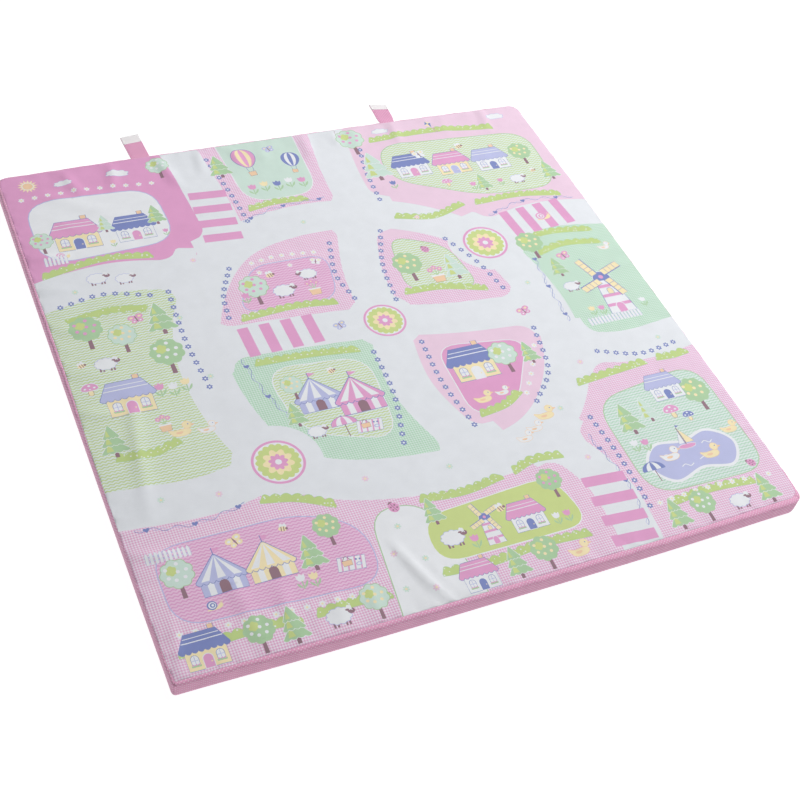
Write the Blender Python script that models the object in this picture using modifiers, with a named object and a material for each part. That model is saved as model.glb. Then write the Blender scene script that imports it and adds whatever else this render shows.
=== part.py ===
"""Square padded play mat: a foam pad in a sewn cover, with two straps at its back edge.

Metres, +Z up. The origin is at the middle of the underside, +Y runs to the back edge with
the straps, and +X runs to the right along the front edge.
"""
import math

import bmesh
import bpy
import numpy as np

# Cover, in metres
HALF_WIDTH = 0.4995          # middle to the side walls, beside the corners
HALF_DEPTH = 0.5030          # middle to the front and back walls, beside the corners
CORNER_RADII = (0.007, 0.021, 0.018, 0.018)   # near left, near right, far right, far left
HEIGHT_AT_SEAM = 0.0302      # the print's sewn edge above the floor
CLOTH = 0.0015               # boxing and base
PRINT_CLOTH = 0.0012         # printed cotton
GAP = 0.0003                 # between pieces that touch
SEAM_GAP = 0.0009            # between two cloths' edges in a seam
STRIP_END_GAP = 0.0003       # each boxing strip stops this far short of its corner seam
CORNER_STEPS = 3             # mesh steps in half a corner
NEAR_CORNER = 0.88           # share of half a side, past which its seam turns in to the corner
NEAR_CORNER_STEPS = 4
MID_SIDE_STEPS = 11

# Foam and the cloth that lies on it
CROWN = 0.0010               # the whole top is this much higher in its middle
SHOULDER_RISE = 0.0014       # the print climbs this much inside its sewn edge
SHOULDER_POWER = 24
FOAM_CLEARANCE = 0.0002      # more than GAP, for the flats of a coarse mesh

# Straps
STRAP_CLOTH = 0.0020         # pin-dot cloth folded double
STRAP_DROP = 0.0140          # from its seam in the back wall down to the floor
STRAP_FALL_LENGTH = 0.0340   # measured along the floor
STRAP_NARROW_LENGTH = 0.0500 # its edges are drawn in over this length
STRAP_COLUMNS = 5            # mesh lines across and along a strap
STRAP_ROWS = 15
TAPE_THICKNESS = 0.0012
TAPE_ROUNDING = 0.0003

# The walls run round the mat from the near left corner. The seam values are how far the print's
# sewn edge lies inside the wall: at the side's start, along its two halves, and at its end.
SEAM_CHANGE = (-0.12, 0.28)  # share of a side over which its seam passes between the two halves
SIDES = (
    # name, quarter turns, seam at start, first half, second half, end, outward bulge, ease power
    ("front", 0, 0.0048, 0.0072, 0.0085, 0.0100, 0.0045, 4),
    ("right", 1, 0.0100, 0.0010, 0.0010, 0.0020, 0.0030, 16),
    ("back", 2, 0.0020, 0.0025, 0.0030, 0.0040, 0.0035, 4),
    ("left", 3, 0.0040, 0.0050, 0.0014, 0.0048, 0.0015, 16),
)

# A wall's outer face from its bottom seam to its top seam: how far it lies inside the mat's
# outline, as metres plus a share of the top seam's inset, and its height.
WALL_PROFILE = (
    # inset, share of seam inset, height
    (0.0035, 0.00, 0.0005),
    (0.0014, 0.00, 0.0018),
    (0.0003, 0.00, 0.0055),
    (0.0000, 0.00, 0.0145),
    (0.0000, 0.00, 0.0255),
    (0.0004, 0.08, 0.0279),
    (0.0000, 0.42, 0.0294),
    (0.0000, 1.00, 0.0302),
)

# Ridges where the loose print stands off the foam, each along a curve of three points
FOLD_END = 0.08              # share of the fade curve left off at each end of a ridge
FOLD_EASE = 0.7              # below 1 a ridge keeps its height further along
FOLD_SAMPLES = 25
FOLDS = (
    # start x, start y, bend x, bend y, end x, end y, half width, height
    (-0.4170, -0.0300, -0.4360, -0.1300, -0.4530, -0.2400, 0.0130, 0.0030),
    (-0.1480, -0.3850, -0.1340, -0.4450, -0.1080, -0.4960, 0.0095, 0.0034),
    (-0.3840, -0.3700, -0.3740, -0.4300, -0.3710, -0.4800, 0.0130, 0.0026),
    (-0.3210, -0.4000, -0.3260, -0.4500, -0.3300, -0.4930, 0.0120, 0.0024),
    (-0.2540, -0.4300, -0.2580, -0.4650, -0.2600, -0.4960, 0.0110, 0.0020),
    (-0.2050, -0.4450, -0.2060, -0.4700, -0.2080, -0.4960, 0.0100, 0.0018),
    (-0.4720, -0.4100, -0.4810, -0.4600, -0.4860, -0.4940, 0.0070, 0.0020),
    (-0.4480, 0.4500, -0.3950, 0.4080, -0.3300, 0.3700, 0.0140, 0.0022),
    (-0.4940, 0.1400, -0.4700, 0.1200, -0.4300, 0.1150, 0.0120, 0.0018),
    (-0.4940, 0.0500, -0.4720, 0.0350, -0.4400, 0.0300, 0.0120, 0.0016),
    (-0.0300, 0.4960, -0.0380, 0.4700, -0.0400, 0.4400, 0.0110, 0.0018),
    (0.1500, 0.4960, 0.1460, 0.4700, 0.1420, 0.4450, 0.0110, 0.0018),
    (0.3300, 0.4960, 0.3240, 0.4650, 0.3220, 0.4350, 0.0120, 0.0020),
)

# The sheet's mesh lines are close together only where it has an edge or a fold
COLUMNS = (
    # from, to, as shares of half the width, and steps
    (-1.000, -0.900, 5),
    (-0.900, -0.620, 9),
    (-0.620, -0.320, 9),
    (-0.320, -0.180, 7),
    (-0.180, 0.880, 22),
    (0.880, 1.000, 5),
)
ROWS = (
    # from, to, as shares of half the depth, and steps
    (-1.000, -0.760, 11),
    (-0.760, 0.000, 9),
    (0.000, 0.360, 10),
    (0.360, 0.700, 4),
    (0.700, 0.880, 4),
    (0.880, 1.000, 6),
)

STRAPS = (
    # name, tip's middle x, width, tip y, turn of the tip, lean at the wall, left edge drawn in
    # at the wall, right edge, length of the tape
    ("left", -0.2416, 0.0340, 0.6000, 0.115, 0.0042, 0.0005, 0.0000, 0.0205),
    ("right", 0.2471, 0.0326, 0.5920, -0.200, -0.0035, 0.0070, 0.0080, 0.0145),
)

for old in list(bpy.data.objects):
    bpy.data.objects.remove(old, do_unlink=True)
mat_pieces = bpy.data.collections.new("padded_play_mat")
bpy.context.scene.collection.children.link(mat_pieces)


def finish_material(name, colour, roughness):
    """A Principled material for one piece."""
    material = bpy.data.materials.new(name)
    material.use_nodes = True
    shader = material.node_tree.nodes["Principled BSDF"]
    shader.inputs["Base Color"].default_value = (*colour, 1.0)
    shader.inputs["Roughness"].default_value = roughness
    shader.inputs["Metallic"].default_value = 0.0
    return material


def keep(name, data, material):
    """Put a mesh or curve into the mat's collection under its piece's name."""
    piece = bpy.data.objects.new(name, data)
    mat_pieces.objects.link(piece)
    data.materials.append(material)
    return piece


def graded(stretches):
    """Mesh-line places for a table of stretches, each cut into its own number of steps."""
    lines = [np.linspace(low, high, steps, endpoint=False) for low, high, steps in stretches]
    return np.append(np.concatenate(lines), stretches[-1][1])


def sheet(name, across, along, place, thickness, material):
    """A grid whose points are placed by a function of two parameters, given a cloth's thickness."""
    mesh = bpy.data.meshes.new(name)
    form = bmesh.new()
    bmesh.ops.create_grid(form, x_segments=len(across) - 1, y_segments=len(along) - 1, size=1.0)
    for point in form.verts:
        column = round((point.co.x + 1.0) / 2.0 * (len(across) - 1))
        row = round((point.co.y + 1.0) / 2.0 * (len(along) - 1))
        point.co = place(across[column], along[row])
    form.to_mesh(mesh)
    form.free()
    mesh.shade_smooth()
    piece = keep(name, mesh, material)
    wall = piece.modifiers.new("Cloth", "SOLIDIFY")
    wall.thickness = thickness
    wall.offset = -1.0
    wall.use_even_offset = True
    return piece


def side_out(quarter):
    """The distance from the mat's middle out to a side, beside its corners."""
    return HALF_DEPTH if quarter % 2 == 0 else HALF_WIDTH


def half_side(quarter, share):
    """The corner radius at one end of a side, and the straight run from the middle up to it."""
    radius = CORNER_RADII[(quarter + 1) % 4] if share > 0.0 else CORNER_RADII[quarter]
    return radius, side_out(quarter + 1) - radius


def seam_inset(side, share):
    """How far inside the wall the print's seam lies, share running from -1 to 1 along the side."""
    start, first, second, end = side[2:6]
    passed = min(1.0, max(0.0, (share - SEAM_CHANGE[0]) / (SEAM_CHANGE[1] - SEAM_CHANGE[0])))
    middle = first + (second - first) * passed * passed * (3.0 - 2.0 * passed)
    other = end if share > 0.0 else start
    return middle + (other - middle) * abs(share) ** side[7]


def swelling(side, run, straight):
    """How far a wall stands out: all of its bulge in the middle, easing to none at the corners."""
    return side[6] * (1.0 - min(1.0, abs(run) / straight) ** 4) ** 2


def outline(side, share, inset):
    """A point on the mat's outline, moved inwards by inset; share runs from corner to corner."""
    quarter = side[1]
    radius, straight = half_side(quarter, share)
    out = side_out(quarter)
    run = share * (straight + radius * math.pi / 4.0)
    if abs(run) <= straight:
        along, outward = run, out + swelling(side, run, straight) - inset
    else:
        turn = (abs(run) - straight) / radius
        reach = radius - inset
        along = math.copysign(straight + reach * math.sin(turn), run)
        outward = out - radius + reach * math.cos(turn)
    angle = quarter * math.pi / 2.0
    x = along * math.cos(angle) + outward * math.sin(angle)
    y = along * math.sin(angle) - outward * math.cos(angle)
    return x, y


def side_stations(quarter, end_gap):
    """Shares along a side: steps in each half corner, and along the two halves of the straight."""
    ends = []
    for sign in (-1.0, 1.0):
        radius, straight = half_side(quarter, sign)
        whole = straight + radius * math.pi / 4.0
        ends.append((sign * straight / whole, sign * (1.0 - end_gap / whole)))
    (low_corner, low_end), (high_corner, high_end) = ends
    return graded(((low_end, low_corner, CORNER_STEPS),
                   (low_corner, low_corner * NEAR_CORNER, NEAR_CORNER_STEPS),
                   (low_corner * NEAR_CORNER, high_corner * NEAR_CORNER, MID_SIDE_STEPS),
                   (high_corner * NEAR_CORNER, high_corner, NEAR_CORNER_STEPS),
                   (high_corner, high_end, CORNER_STEPS)))


def shoulder(x, y):
    """The flat part of the top: 1 in the middle, falling to 0 at the sewn edges."""
    across = 1.0 - min(1.0, abs(x / HALF_WIDTH)) ** SHOULDER_POWER
    along = 1.0 - min(1.0, abs(y / HALF_DEPTH)) ** SHOULDER_POWER
    return across * along


def smooth_top(x, y):
    """Height of the print's face with no folds: a low crown inside a rolled edge."""
    crown = (1.0 - (x / HALF_WIDTH) ** 2) * (1.0 - (y / HALF_DEPTH) ** 2)
    return HEIGHT_AT_SEAM + SHOULDER_RISE * shoulder(x, y) + CROWN * max(0.0, crown)


def fold_height(x, y, fold):
    """A ridge along a three-point curve: a bell across it, and a fade towards both ends."""
    steps = np.linspace(0.0, 1.0, FOLD_SAMPLES)
    start, bend, end = np.array(fold[0:2]), np.array(fold[2:4]), np.array(fold[4:6])
    path = (np.outer((1 - steps) ** 2, start) + np.outer(2 * steps * (1 - steps), bend)
            + np.outer(steps ** 2, end))
    away = np.hypot(path[:, 0] - x, path[:, 1] - y)
    nearest = int(away.argmin())
    fade = math.sin(math.pi * (FOLD_END + (1.0 - 2.0 * FOLD_END) * steps[nearest])) ** FOLD_EASE
    return fold[7] * fade * math.exp(-(away[nearest] / fold[6]) ** 2)


def print_face(x, y):
    """Height of the printed cloth: the smooth top with its folds raised off the foam."""
    raised = sum(fold_height(x, y, fold) for fold in FOLDS)
    return smooth_top(x, y) + raised


def wall_points(seam):
    """The boxing's outer face as inset and height, for one inset of the top seam."""
    return [(inset + share * seam, height) for inset, share, height in WALL_PROFILE]


pink_dots = finish_material("pin_dot_cloth", (0.62, 0.24, 0.42), 0.85)
printed_cotton = finish_material("printed_cotton", (0.72, 0.74, 0.77), 0.80)
base_cloth = finish_material("base_cloth", (0.66, 0.66, 0.67), 0.90)
foam = finish_material("foam", (0.80, 0.78, 0.66), 0.95)
hook = finish_material("hook_tape", (0.76, 0.74, 0.75), 0.60)

# Boxing: four strips, sewn to each other at the middle of the corners
for side in SIDES:
    stations = side_stations(side[1], STRIP_END_GAP)
    rows = np.arange(len(WALL_PROFILE))

    def boxing_point(share, row, side=side):
        inset, height = wall_points(seam_inset(side, share))[row]
        return (*outline(side, share, inset), height)

    sheet(f"boxing_{side[0]}", stations, rows, boxing_point, CLOTH, pink_dots)


# Printed top panel: a patch stretched between its four sewn edges
def panel_edge(side, share):
    """A point of the print's sewn edge, clear of the boxing where that stands up to its seam."""
    inset = max(seam_inset(side, share) + SEAM_GAP, CLOTH + SEAM_GAP + GAP)
    return np.array(outline(side, share, inset))


def panel_point(u, v):
    """The patch's plan is blended from its four edges, and its height is the print's face."""
    front, right, back, left = SIDES
    low, high = panel_edge(front, u), panel_edge(back, -u)
    start, end = panel_edge(left, -v), panel_edge(right, v)
    s, t = (u + 1.0) / 2.0, (v + 1.0) / 2.0
    corners = ((1 - s) * (1 - t) * panel_edge(front, -1.0) + s * (1 - t) * panel_edge(front, 1.0)
               + (1 - s) * t * panel_edge(back, 1.0) + s * t * panel_edge(back, -1.0))
    x, y = (1 - t) * low + t * high + (1 - s) * start + s * end - corners
    return x, y, print_face(x, y)


sheet("top_panel", graded(COLUMNS), graded(ROWS), panel_point, PRINT_CLOTH, printed_cotton)


def foam_section(seam):
    """The wall's profile moved inwards by the boxing's thickness and a gap, square to itself."""
    points = np.array(wall_points(seam))
    tangents = np.gradient(points, axis=0)
    tangents /= np.linalg.norm(tangents, axis=1)[:, None]
    inward = np.stack([tangents[:, 1], -tangents[:, 0]], axis=1)
    return points + inward * (CLOTH + 2.0 * GAP)


# Foam pad: rings from the middle of its underside, up its wall and over its crown
FOAM_BASE = CLOTH + GAP
BOTTOM_RINGS = (0.45, 0.93)       # share of the way out to the wall
TOP_RINGS = (0.985, 0.95, 0.85, 0.45)
WALL_RINGS = range(1, 7)          # rows of the wall profile that the foam follows
ring_count = len(BOTTOM_RINGS) + len(WALL_RINGS) + len(TOP_RINGS)

round_mat = []
for side in SIDES:
    round_mat += [(side, share) for share in side_stations(side[1], 0.0)[:-1]]


def foam_point(station, ring):
    """A point of the pad, by its place round the mat and its ring from the bottom up."""
    side, share = round_mat[station]
    section = foam_section(seam_inset(side, share))
    if ring < len(BOTTOM_RINGS):
        x, y = outline(side, share, section[1][0])
        return x * BOTTOM_RINGS[ring], y * BOTTOM_RINGS[ring], FOAM_BASE
    ring -= len(BOTTOM_RINGS)
    if ring < len(WALL_RINGS):
        inset, height = section[WALL_RINGS[ring]]
        return (*outline(side, share, inset), max(height, FOAM_BASE))
    ring -= len(WALL_RINGS)
    x, y = outline(side, share, section[-2][0])
    x, y = x * TOP_RINGS[ring], y * TOP_RINGS[ring]
    return x, y, smooth_top(x, y) - PRINT_CLOTH - GAP - FOAM_CLEARANCE


foam_mesh = bpy.data.meshes.new("pad_body")
foam_form = bmesh.new()
bmesh.ops.create_uvsphere(foam_form, u_segments=len(round_mat), v_segments=ring_count + 1, radius=1.0)
for point in foam_form.verts:
    ring = round((math.asin(max(-1.0, min(1.0, point.co.z))) / math.pi + 0.5) * (ring_count + 1)) - 1
    if ring < 0:
        point.co = (0.0, 0.0, FOAM_BASE)
    elif ring >= ring_count:
        point.co = (0.0, 0.0, smooth_top(0.0, 0.0) - PRINT_CLOTH - GAP - FOAM_CLEARANCE)
    else:
        turn = math.atan2(point.co.y, point.co.x) / (2.0 * math.pi)
        point.co = foam_point(round(turn * len(round_mat)) % len(round_mat), ring)
foam_form.to_mesh(foam_mesh)
foam_form.free()
foam_mesh.shade_smooth()
keep("pad_body", foam_mesh, foam)

# Base panel: a flat outline with the cloth's thickness, whose underside is the mat's resting face
BASE_INSET = WALL_PROFILE[0][0] + SEAM_GAP + GAP
base_curve = bpy.data.curves.new("base_panel", "CURVE")
base_curve.dimensions = "2D"
base_curve.fill_mode = "BOTH"
base_curve.extrude = CLOTH / 2.0
edge = base_curve.splines.new("POLY")
edge.points.add(len(round_mat) - 1)
for point, (side, share) in zip(edge.points, round_mat):
    point.co = (*outline(side, share, BASE_INSET), 0.0, 1.0)
edge.use_cyclic_u = True
base_piece = keep("base_panel", base_curve, base_cloth)
base_piece.location.z = CLOTH / 2.0


def strap_root(middle):
    """Where a strap leaves the back wall."""
    straight = half_side(2, -middle)[1]
    return HALF_DEPTH + swelling(SIDES[2], middle, straight) + 2.0 * GAP


def strap_face(strap, across, along):
    """A strap's upper face: it leaves the wall level, falls in an easy S and lies on the floor."""
    middle, width, tip, turn, lean, draw_left, draw_right = strap[1:8]
    root = strap_root(middle)
    end = tip + across * width / 2.0 * math.tan(turn)
    y = root + (end - root) * along
    fallen = min(1.0, (y - root) / STRAP_FALL_LENGTH)
    ease = fallen * fallen * (3.0 - 2.0 * fallen)
    near = 1.0 - min(1.0, (y - root) / STRAP_NARROW_LENGTH)
    drawn = draw_left * max(0.0, -across) - draw_right * max(0.0, across)
    x = middle + lean * (1.0 - along) + across * width / 2.0 + drawn * near * near * (3.0 - 2.0 * near)
    return x, y, STRAP_DROP * (1.0 - ease) + STRAP_CLOTH


# Straps and the hook tape sewn on their ends
for strap in STRAPS:
    name, middle, width, tip, turn, lean = strap[:6]
    tape_length = strap[8]
    slope = lean / (tip - strap_root(middle))

    def strap_point(across, along, strap=strap):
        return strap_face(strap, across, along)

    sheet(f"strap_{name}", np.linspace(-1, 1, STRAP_COLUMNS), np.linspace(0, 1, STRAP_ROWS),
          strap_point, STRAP_CLOTH, pink_dots)
    form = bmesh.new()
    bmesh.ops.create_cube(form, size=1.0)
    bmesh.ops.scale(form, vec=(width, tape_length, TAPE_THICKNESS), verts=form.verts)
    for corner in form.verts:
        from_tip = tape_length / 2.0 - corner.co.y
        corner.co.y += corner.co.x * math.tan(turn)
        corner.co.x += from_tip * slope
    tape_mesh = bpy.data.meshes.new(f"hook_tape_{name}")
    form.to_mesh(tape_mesh)
    form.free()
    tape = keep(f"hook_tape_{name}", tape_mesh, hook)
    tape.location = (middle, tip - tape_length / 2.0, STRAP_CLOTH + GAP + TAPE_THICKNESS / 2.0)
    rounding = tape.modifiers.new("Rounding", "BEVEL")
    rounding.width = TAPE_ROUNDING
    rounding.segments = 1
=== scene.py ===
import math

import bpy
import numpy as np
from mathutils import Matrix, geometry


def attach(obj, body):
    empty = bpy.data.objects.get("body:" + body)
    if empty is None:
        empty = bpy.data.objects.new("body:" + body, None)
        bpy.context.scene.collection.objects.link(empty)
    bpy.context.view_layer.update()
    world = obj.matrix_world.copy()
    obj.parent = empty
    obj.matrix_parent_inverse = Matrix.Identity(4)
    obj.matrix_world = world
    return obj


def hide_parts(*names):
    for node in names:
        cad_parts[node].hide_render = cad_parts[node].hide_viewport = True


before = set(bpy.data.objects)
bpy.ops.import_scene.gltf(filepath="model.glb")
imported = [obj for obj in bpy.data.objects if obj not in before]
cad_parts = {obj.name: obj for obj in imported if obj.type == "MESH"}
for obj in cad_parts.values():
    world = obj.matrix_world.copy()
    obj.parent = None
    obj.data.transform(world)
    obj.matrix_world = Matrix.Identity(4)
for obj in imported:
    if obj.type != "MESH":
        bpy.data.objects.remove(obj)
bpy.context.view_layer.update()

# The view and the studio: the mat lies on a plain pale floor and is seen from above its near
# left corner, under a broad soft light from its right and a weak one from the near left.
CAMERA_PLACE = (-0.77815, -1.28965, 1.53785)
CAMERA_RIGHT = (0.90661589, -0.39402421, 0.15097204)
CAMERA_UP = (0.20661676, 0.72651015, 0.65535679)
CAMERA_BACK = (-0.36790916, -0.56296352, 0.74007765)
LENS = 59.67                     # mm
FILM_WIDTH = 36.0                # mm
FARTHEST_SEEN = 60.0
WORLD_LIGHT = 0.12
FLOOR_SIDE = 14.0
FLOOR_DROP = 0.0004
FLOOR_GREY = 0.20
FLOOR_GLOW = 0.95
LAMPS = (
    # name, place, aim, width, watts
    ("right softbox", (1.7, 0.7, 3.3), (0.0, 0.0, 0.0), 2.4, 148.0),
    ("near left fill", (-0.8, -1.4, 3.0), (0.0, 0.0, 0.0), 2.2, 4.0),
)

camera_data = bpy.data.cameras.new("view")
camera_data.sensor_width = FILM_WIDTH
camera_data.lens = LENS
camera_data.clip_end = FARTHEST_SEEN
camera = bpy.data.objects.new("view", camera_data)
columns = np.array([CAMERA_RIGHT, CAMERA_UP, CAMERA_BACK, CAMERA_PLACE]).T
camera.matrix_world = Matrix(np.vstack([columns, (0.0, 0.0, 0.0, 1.0)]).tolist())
bpy.context.scene.collection.objects.link(camera)
bpy.context.scene.camera = camera
bpy.context.scene.view_settings.view_transform = "Standard"

world = bpy.data.worlds.new("studio")
world.use_nodes = True
world.node_tree.nodes["Background"].inputs["Color"].default_value = (1.0, 1.0, 1.0, 1.0)
world.node_tree.nodes["Background"].inputs["Strength"].default_value = WORLD_LIGHT
bpy.context.scene.world = world

for name, place, aim, width, watts in LAMPS:
    lamp_data = bpy.data.lights.new(name, "AREA")
    lamp_data.shape = "SQUARE"
    lamp_data.size = width
    lamp_data.energy = watts
    lamp = bpy.data.objects.new(name, lamp_data)
    away = np.array(place) - np.array(aim)
    away /= np.linalg.norm(away)
    side = np.cross((0.0, 0.0, 1.0), away)
    side /= np.linalg.norm(side)
    turned = np.array([side, np.cross(away, side), away, place]).T
    lamp.matrix_world = Matrix(np.vstack([turned, (0.0, 0.0, 0.0, 1.0)]).tolist())
    bpy.context.scene.collection.objects.link(lamp)

floor_mesh = bpy.data.meshes.new("floor")
half = FLOOR_SIDE / 2.0
floor_mesh.from_pydata([(-half, -half, -FLOOR_DROP), (half, -half, -FLOOR_DROP),
                        (half, half, -FLOOR_DROP), (-half, half, -FLOOR_DROP)], [], [(0, 1, 2, 3)])
floor = bpy.data.objects.new("floor", floor_mesh)
bpy.context.scene.collection.objects.link(floor)
floor_paint = bpy.data.materials.new("studio floor")
floor_paint.use_nodes = True
floor_shader = floor_paint.node_tree.nodes["Principled BSDF"]
floor_shader.inputs["Base Color"].default_value = (FLOOR_GREY, FLOOR_GREY, FLOOR_GREY, 1.0)
floor_shader.inputs["Roughness"].default_value = 0.9
floor_shader.inputs["Specular IOR Level"].default_value = 0.1
floor_shader.inputs["Emission Color"].default_value = (1.0, 1.0, 1.0, 1.0)
floor_shader.inputs["Emission Strength"].default_value = FLOOR_GLOW
floor_mesh.materials.append(floor_paint)


# The printed top: one square of plain-weave cotton, printed with a toy-town picture. It is sewn
# face to face to the boxing all round, turned out and pulled over the foam. It lies a little
# loose, so it gathers along the front seam and stands in soft ridges near the corners.
HALF_WIDTH = 0.4995              # metres, as is every size with no unit beside it
HALF_DEPTH = 0.5030
CORNER_RADII = (0.007, 0.021, 0.018, 0.018)   # near left, near right, far right, far left
HEIGHT_AT_SEAM = 0.0302
CROWN = 0.0010
SHOULDER_RISE = 0.0014
SHOULDER_POWER = 24
PRINT_THICKNESS = 0.0009
SEAM_HALF_GAP = 0.00004          # the two cloths' edges meet this close to the stitches
SEAM_DIP = 0.0003                # how far the stitches pull the seam down
SEAM_ROLL = 0.0025               # and how far in from them the cloth rolls back up
PUCKER_PITCHES = (0.017, 0.043)  # the fine ones' and the broad ones'
PUCKER_HEIGHTS = (0.00034, 0.00070)
PUCKER_REACHES = (0.009, 0.026)  # distance in from the seam over which they die out
SEAM_CHANGE = (-0.12, 0.28)      # share of a side over which its seam passes between the halves
SIDES = (
    # name, quarter turns, seam at start, first half, second half, end, outward bulge, ease power
    ("front", 0, 0.0048, 0.0072, 0.0085, 0.0100, 0.0045, 4),
    ("right", 1, 0.0100, 0.0010, 0.0010, 0.0020, 0.0030, 16),
    ("back", 2, 0.0020, 0.0025, 0.0030, 0.0040, 0.0035, 4),
    ("left", 3, 0.0040, 0.0050, 0.0014, 0.0048, 0.0015, 16),
)
FOLDS = (
    # start x, start y, bend x, bend y, end x, end y, half width, height, in mm
    (-417, -30, -436, -130, -453, -240, 13, 3),
    (-148, -385, -134, -445, -108, -496, 9.5, 3.4),
    (-384, -370, -374, -430, -371, -480, 13, 2.6),
    (-321, -400, -326, -450, -330, -493, 12, 2.4),
    (-254, -430, -258, -465, -260, -496, 11, 2),
    (-205, -445, -206, -470, -208, -496, 10, 1.8),
    (-472, -410, -481, -460, -486, -494, 7, 2),
    (-448, 450, -395, 408, -330, 370, 14, 2.2),
    (-494, 140, -470, 120, -430, 115, 12, 1.8),
    (-494, 50, -472, 35, -440, 30, 12, 1.6),
    (-30, 496, -38, 470, -40, 440, 11, 1.8),
    (150, 496, 146, 470, 142, 445, 11, 1.8),
    (330, 496, 324, 465, 322, 435, 12, 2),
)
FINE_CREASES = (
    # start x, start y, bend x, bend y, end x, end y, half width, height, in mm
    (-331, 75, -250, 70, -182, 68, 4, 0.4),
    (-26, 6, 70, -8, 170, -19, 4, 0.4),
    (5, 430, 0, 100, 10, -300, 5, 0.3),
    (-160, -370, -145, -430, -130, -490, 4.5, -0.8),
    (-118, -410, -100, -460, -86, -496, 8, 1),
    (-434, -90, -443, -160, -460, -250, 6, -0.8),
    (-354, -430, -351, -460, -350, -495, 8, 1),
    (-290, -445, -293, -470, -295, -496, 7, 1),
    (-410, 470, -370, 435, -340, 420, 9, 1),
    (-450, 390, -410, 360, -390, 330, 10, 0.9),
    (-144, -395, -130, -445, -106, -496, 5, 1.6),
    (-390, 500, -386, 470, -372, 430, 10, 4.3),
    (-305, 500, -308, 470, -315, 435, 9, 3.8),
    (-225, 500, -220, 460, -205, 415, 10, 4.8),
    (-150, 500, -152, 470, -156, 440, 9, 3.8),
    (-90, 500, -88, 475, -84, 445, 9, 3.4),
    (50, 500, 48, 470, 45, 430, 10, 4.3),
    (105, 500, 106, 475, 108, 455, 8, 3.4),
    (230, 500, 226, 470, 224, 440, 10, 4),
    (420, 500, 416, 470, 408, 445, 10, 4),
    (-496, 300, -470, 290, -435, 288, 10, 3.8),
    (-496, 220, -472, 215, -445, 218, 9, 3.4),
    (-496, -40, -472, -50, -445, -52, 10, 3.4),
    (-496, -300, -470, -310, -440, -312, 10, 3.7),
    (-422, -50, -440, -140, -455, -240, 7, 1.8),
)


def side_out(quarter):
    """The distance from the mat's middle out to a side, beside its corners."""
    return HALF_DEPTH if quarter % 2 == 0 else HALF_WIDTH


def half_side(quarter, share):
    """The corner radius at each place's end of a side, and the straight run up to it."""
    radius = np.where(np.asarray(share) > 0.0, CORNER_RADII[(quarter + 1) % 4], CORNER_RADII[quarter])
    return radius, side_out(quarter + 1) - radius


def seam_inset(side, share):
    """Distance from wall to seam: a smooth step from the first half's value to the second's, and
    from there by a power of share to each end's."""
    share = np.asarray(share, float)
    passed = np.clip((share - SEAM_CHANGE[0]) / (SEAM_CHANGE[1] - SEAM_CHANGE[0]), 0.0, 1.0)
    middle = side[3] + (side[4] - side[3]) * passed * passed * (3.0 - 2.0 * passed)
    other = np.where(share > 0.0, side[5], side[2])
    return middle + (other - middle) * np.abs(share) ** side[7]


def swelling(side, run, straight):
    """How far a wall stands out: its bulge times the square of one less the fourth power."""
    return side[6] * (1.0 - np.minimum(1.0, np.abs(run) / straight) ** 4) ** 2


def wall_line(side, share, inset):
    """Plan of one wall, moved in by inset: a swelled straight run with an eighth of a circle at
    each end. Share runs from -1 to 1 between the corners' middles."""
    share = np.asarray(share, float)
    radius, straight = half_side(side[1], share)
    run = share * (straight + radius * math.pi / 4.0)
    turn = np.maximum(np.abs(run) - straight, 0.0) / radius
    reach = radius - inset
    along = np.clip(run, -straight, straight) + np.sign(run) * reach * np.sin(turn)
    outward = side_out(side[1]) - radius + reach * np.cos(turn) + swelling(side, run, straight)
    angle = side[1] * math.pi / 2.0
    return (along * math.cos(angle) + outward * math.sin(angle),
            along * math.sin(angle) - outward * math.cos(angle))


def seam_loop(extra, steps):
    """The sewn edge round all four sides, moved in by extra, with each corner point once."""
    share = np.linspace(-1.0, 1.0, steps, endpoint=False)
    lines = [np.stack(wall_line(side, share, seam_inset(side, share) + extra), axis=1)
             for side in SIDES]
    return np.concatenate(lines)


def seam_distance(x, y):
    """Distance in from the sewn edge: the least of the four straight-in distances."""
    share = np.linspace(-1.0, 1.0, 161)
    inward = []
    for side in SIDES:
        line_x, line_y = wall_line(side, share, seam_inset(side, share))
        order = np.argsort(line_x if side[1] % 2 == 0 else line_y)
        if side[1] % 2 == 0:
            edge = np.interp(x, line_x[order], line_y[order])
            inward.append((y - edge) if side[1] == 0 else (edge - y))
        else:
            edge = np.interp(y, line_y[order], line_x[order])
            inward.append((edge - x) if side[1] == 1 else (x - edge))
    return np.maximum(np.min(inward, axis=0), 0.0)


def ridge(x, y, fold):
    """A bell of the distance from a three-point curve, fading along it by a sine's power."""
    fold = np.array(fold) / 1000.0
    t = np.linspace(0.0, 1.0, 33)
    path_x = (1 - t) ** 2 * fold[0] + 2 * t * (1 - t) * fold[2] + t ** 2 * fold[4]
    path_y = (1 - t) ** 2 * fold[1] + 2 * t * (1 - t) * fold[3] + t ** 2 * fold[5]
    away = np.hypot(x[:, None] - path_x, y[:, None] - path_y)
    nearest = away.argmin(axis=1)
    fade = np.sin(math.pi * (0.08 + 0.84 * t[nearest])) ** 0.7
    return fold[7] * fade * np.exp(-(away.min(axis=1) / fold[6]) ** 2)


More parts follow.
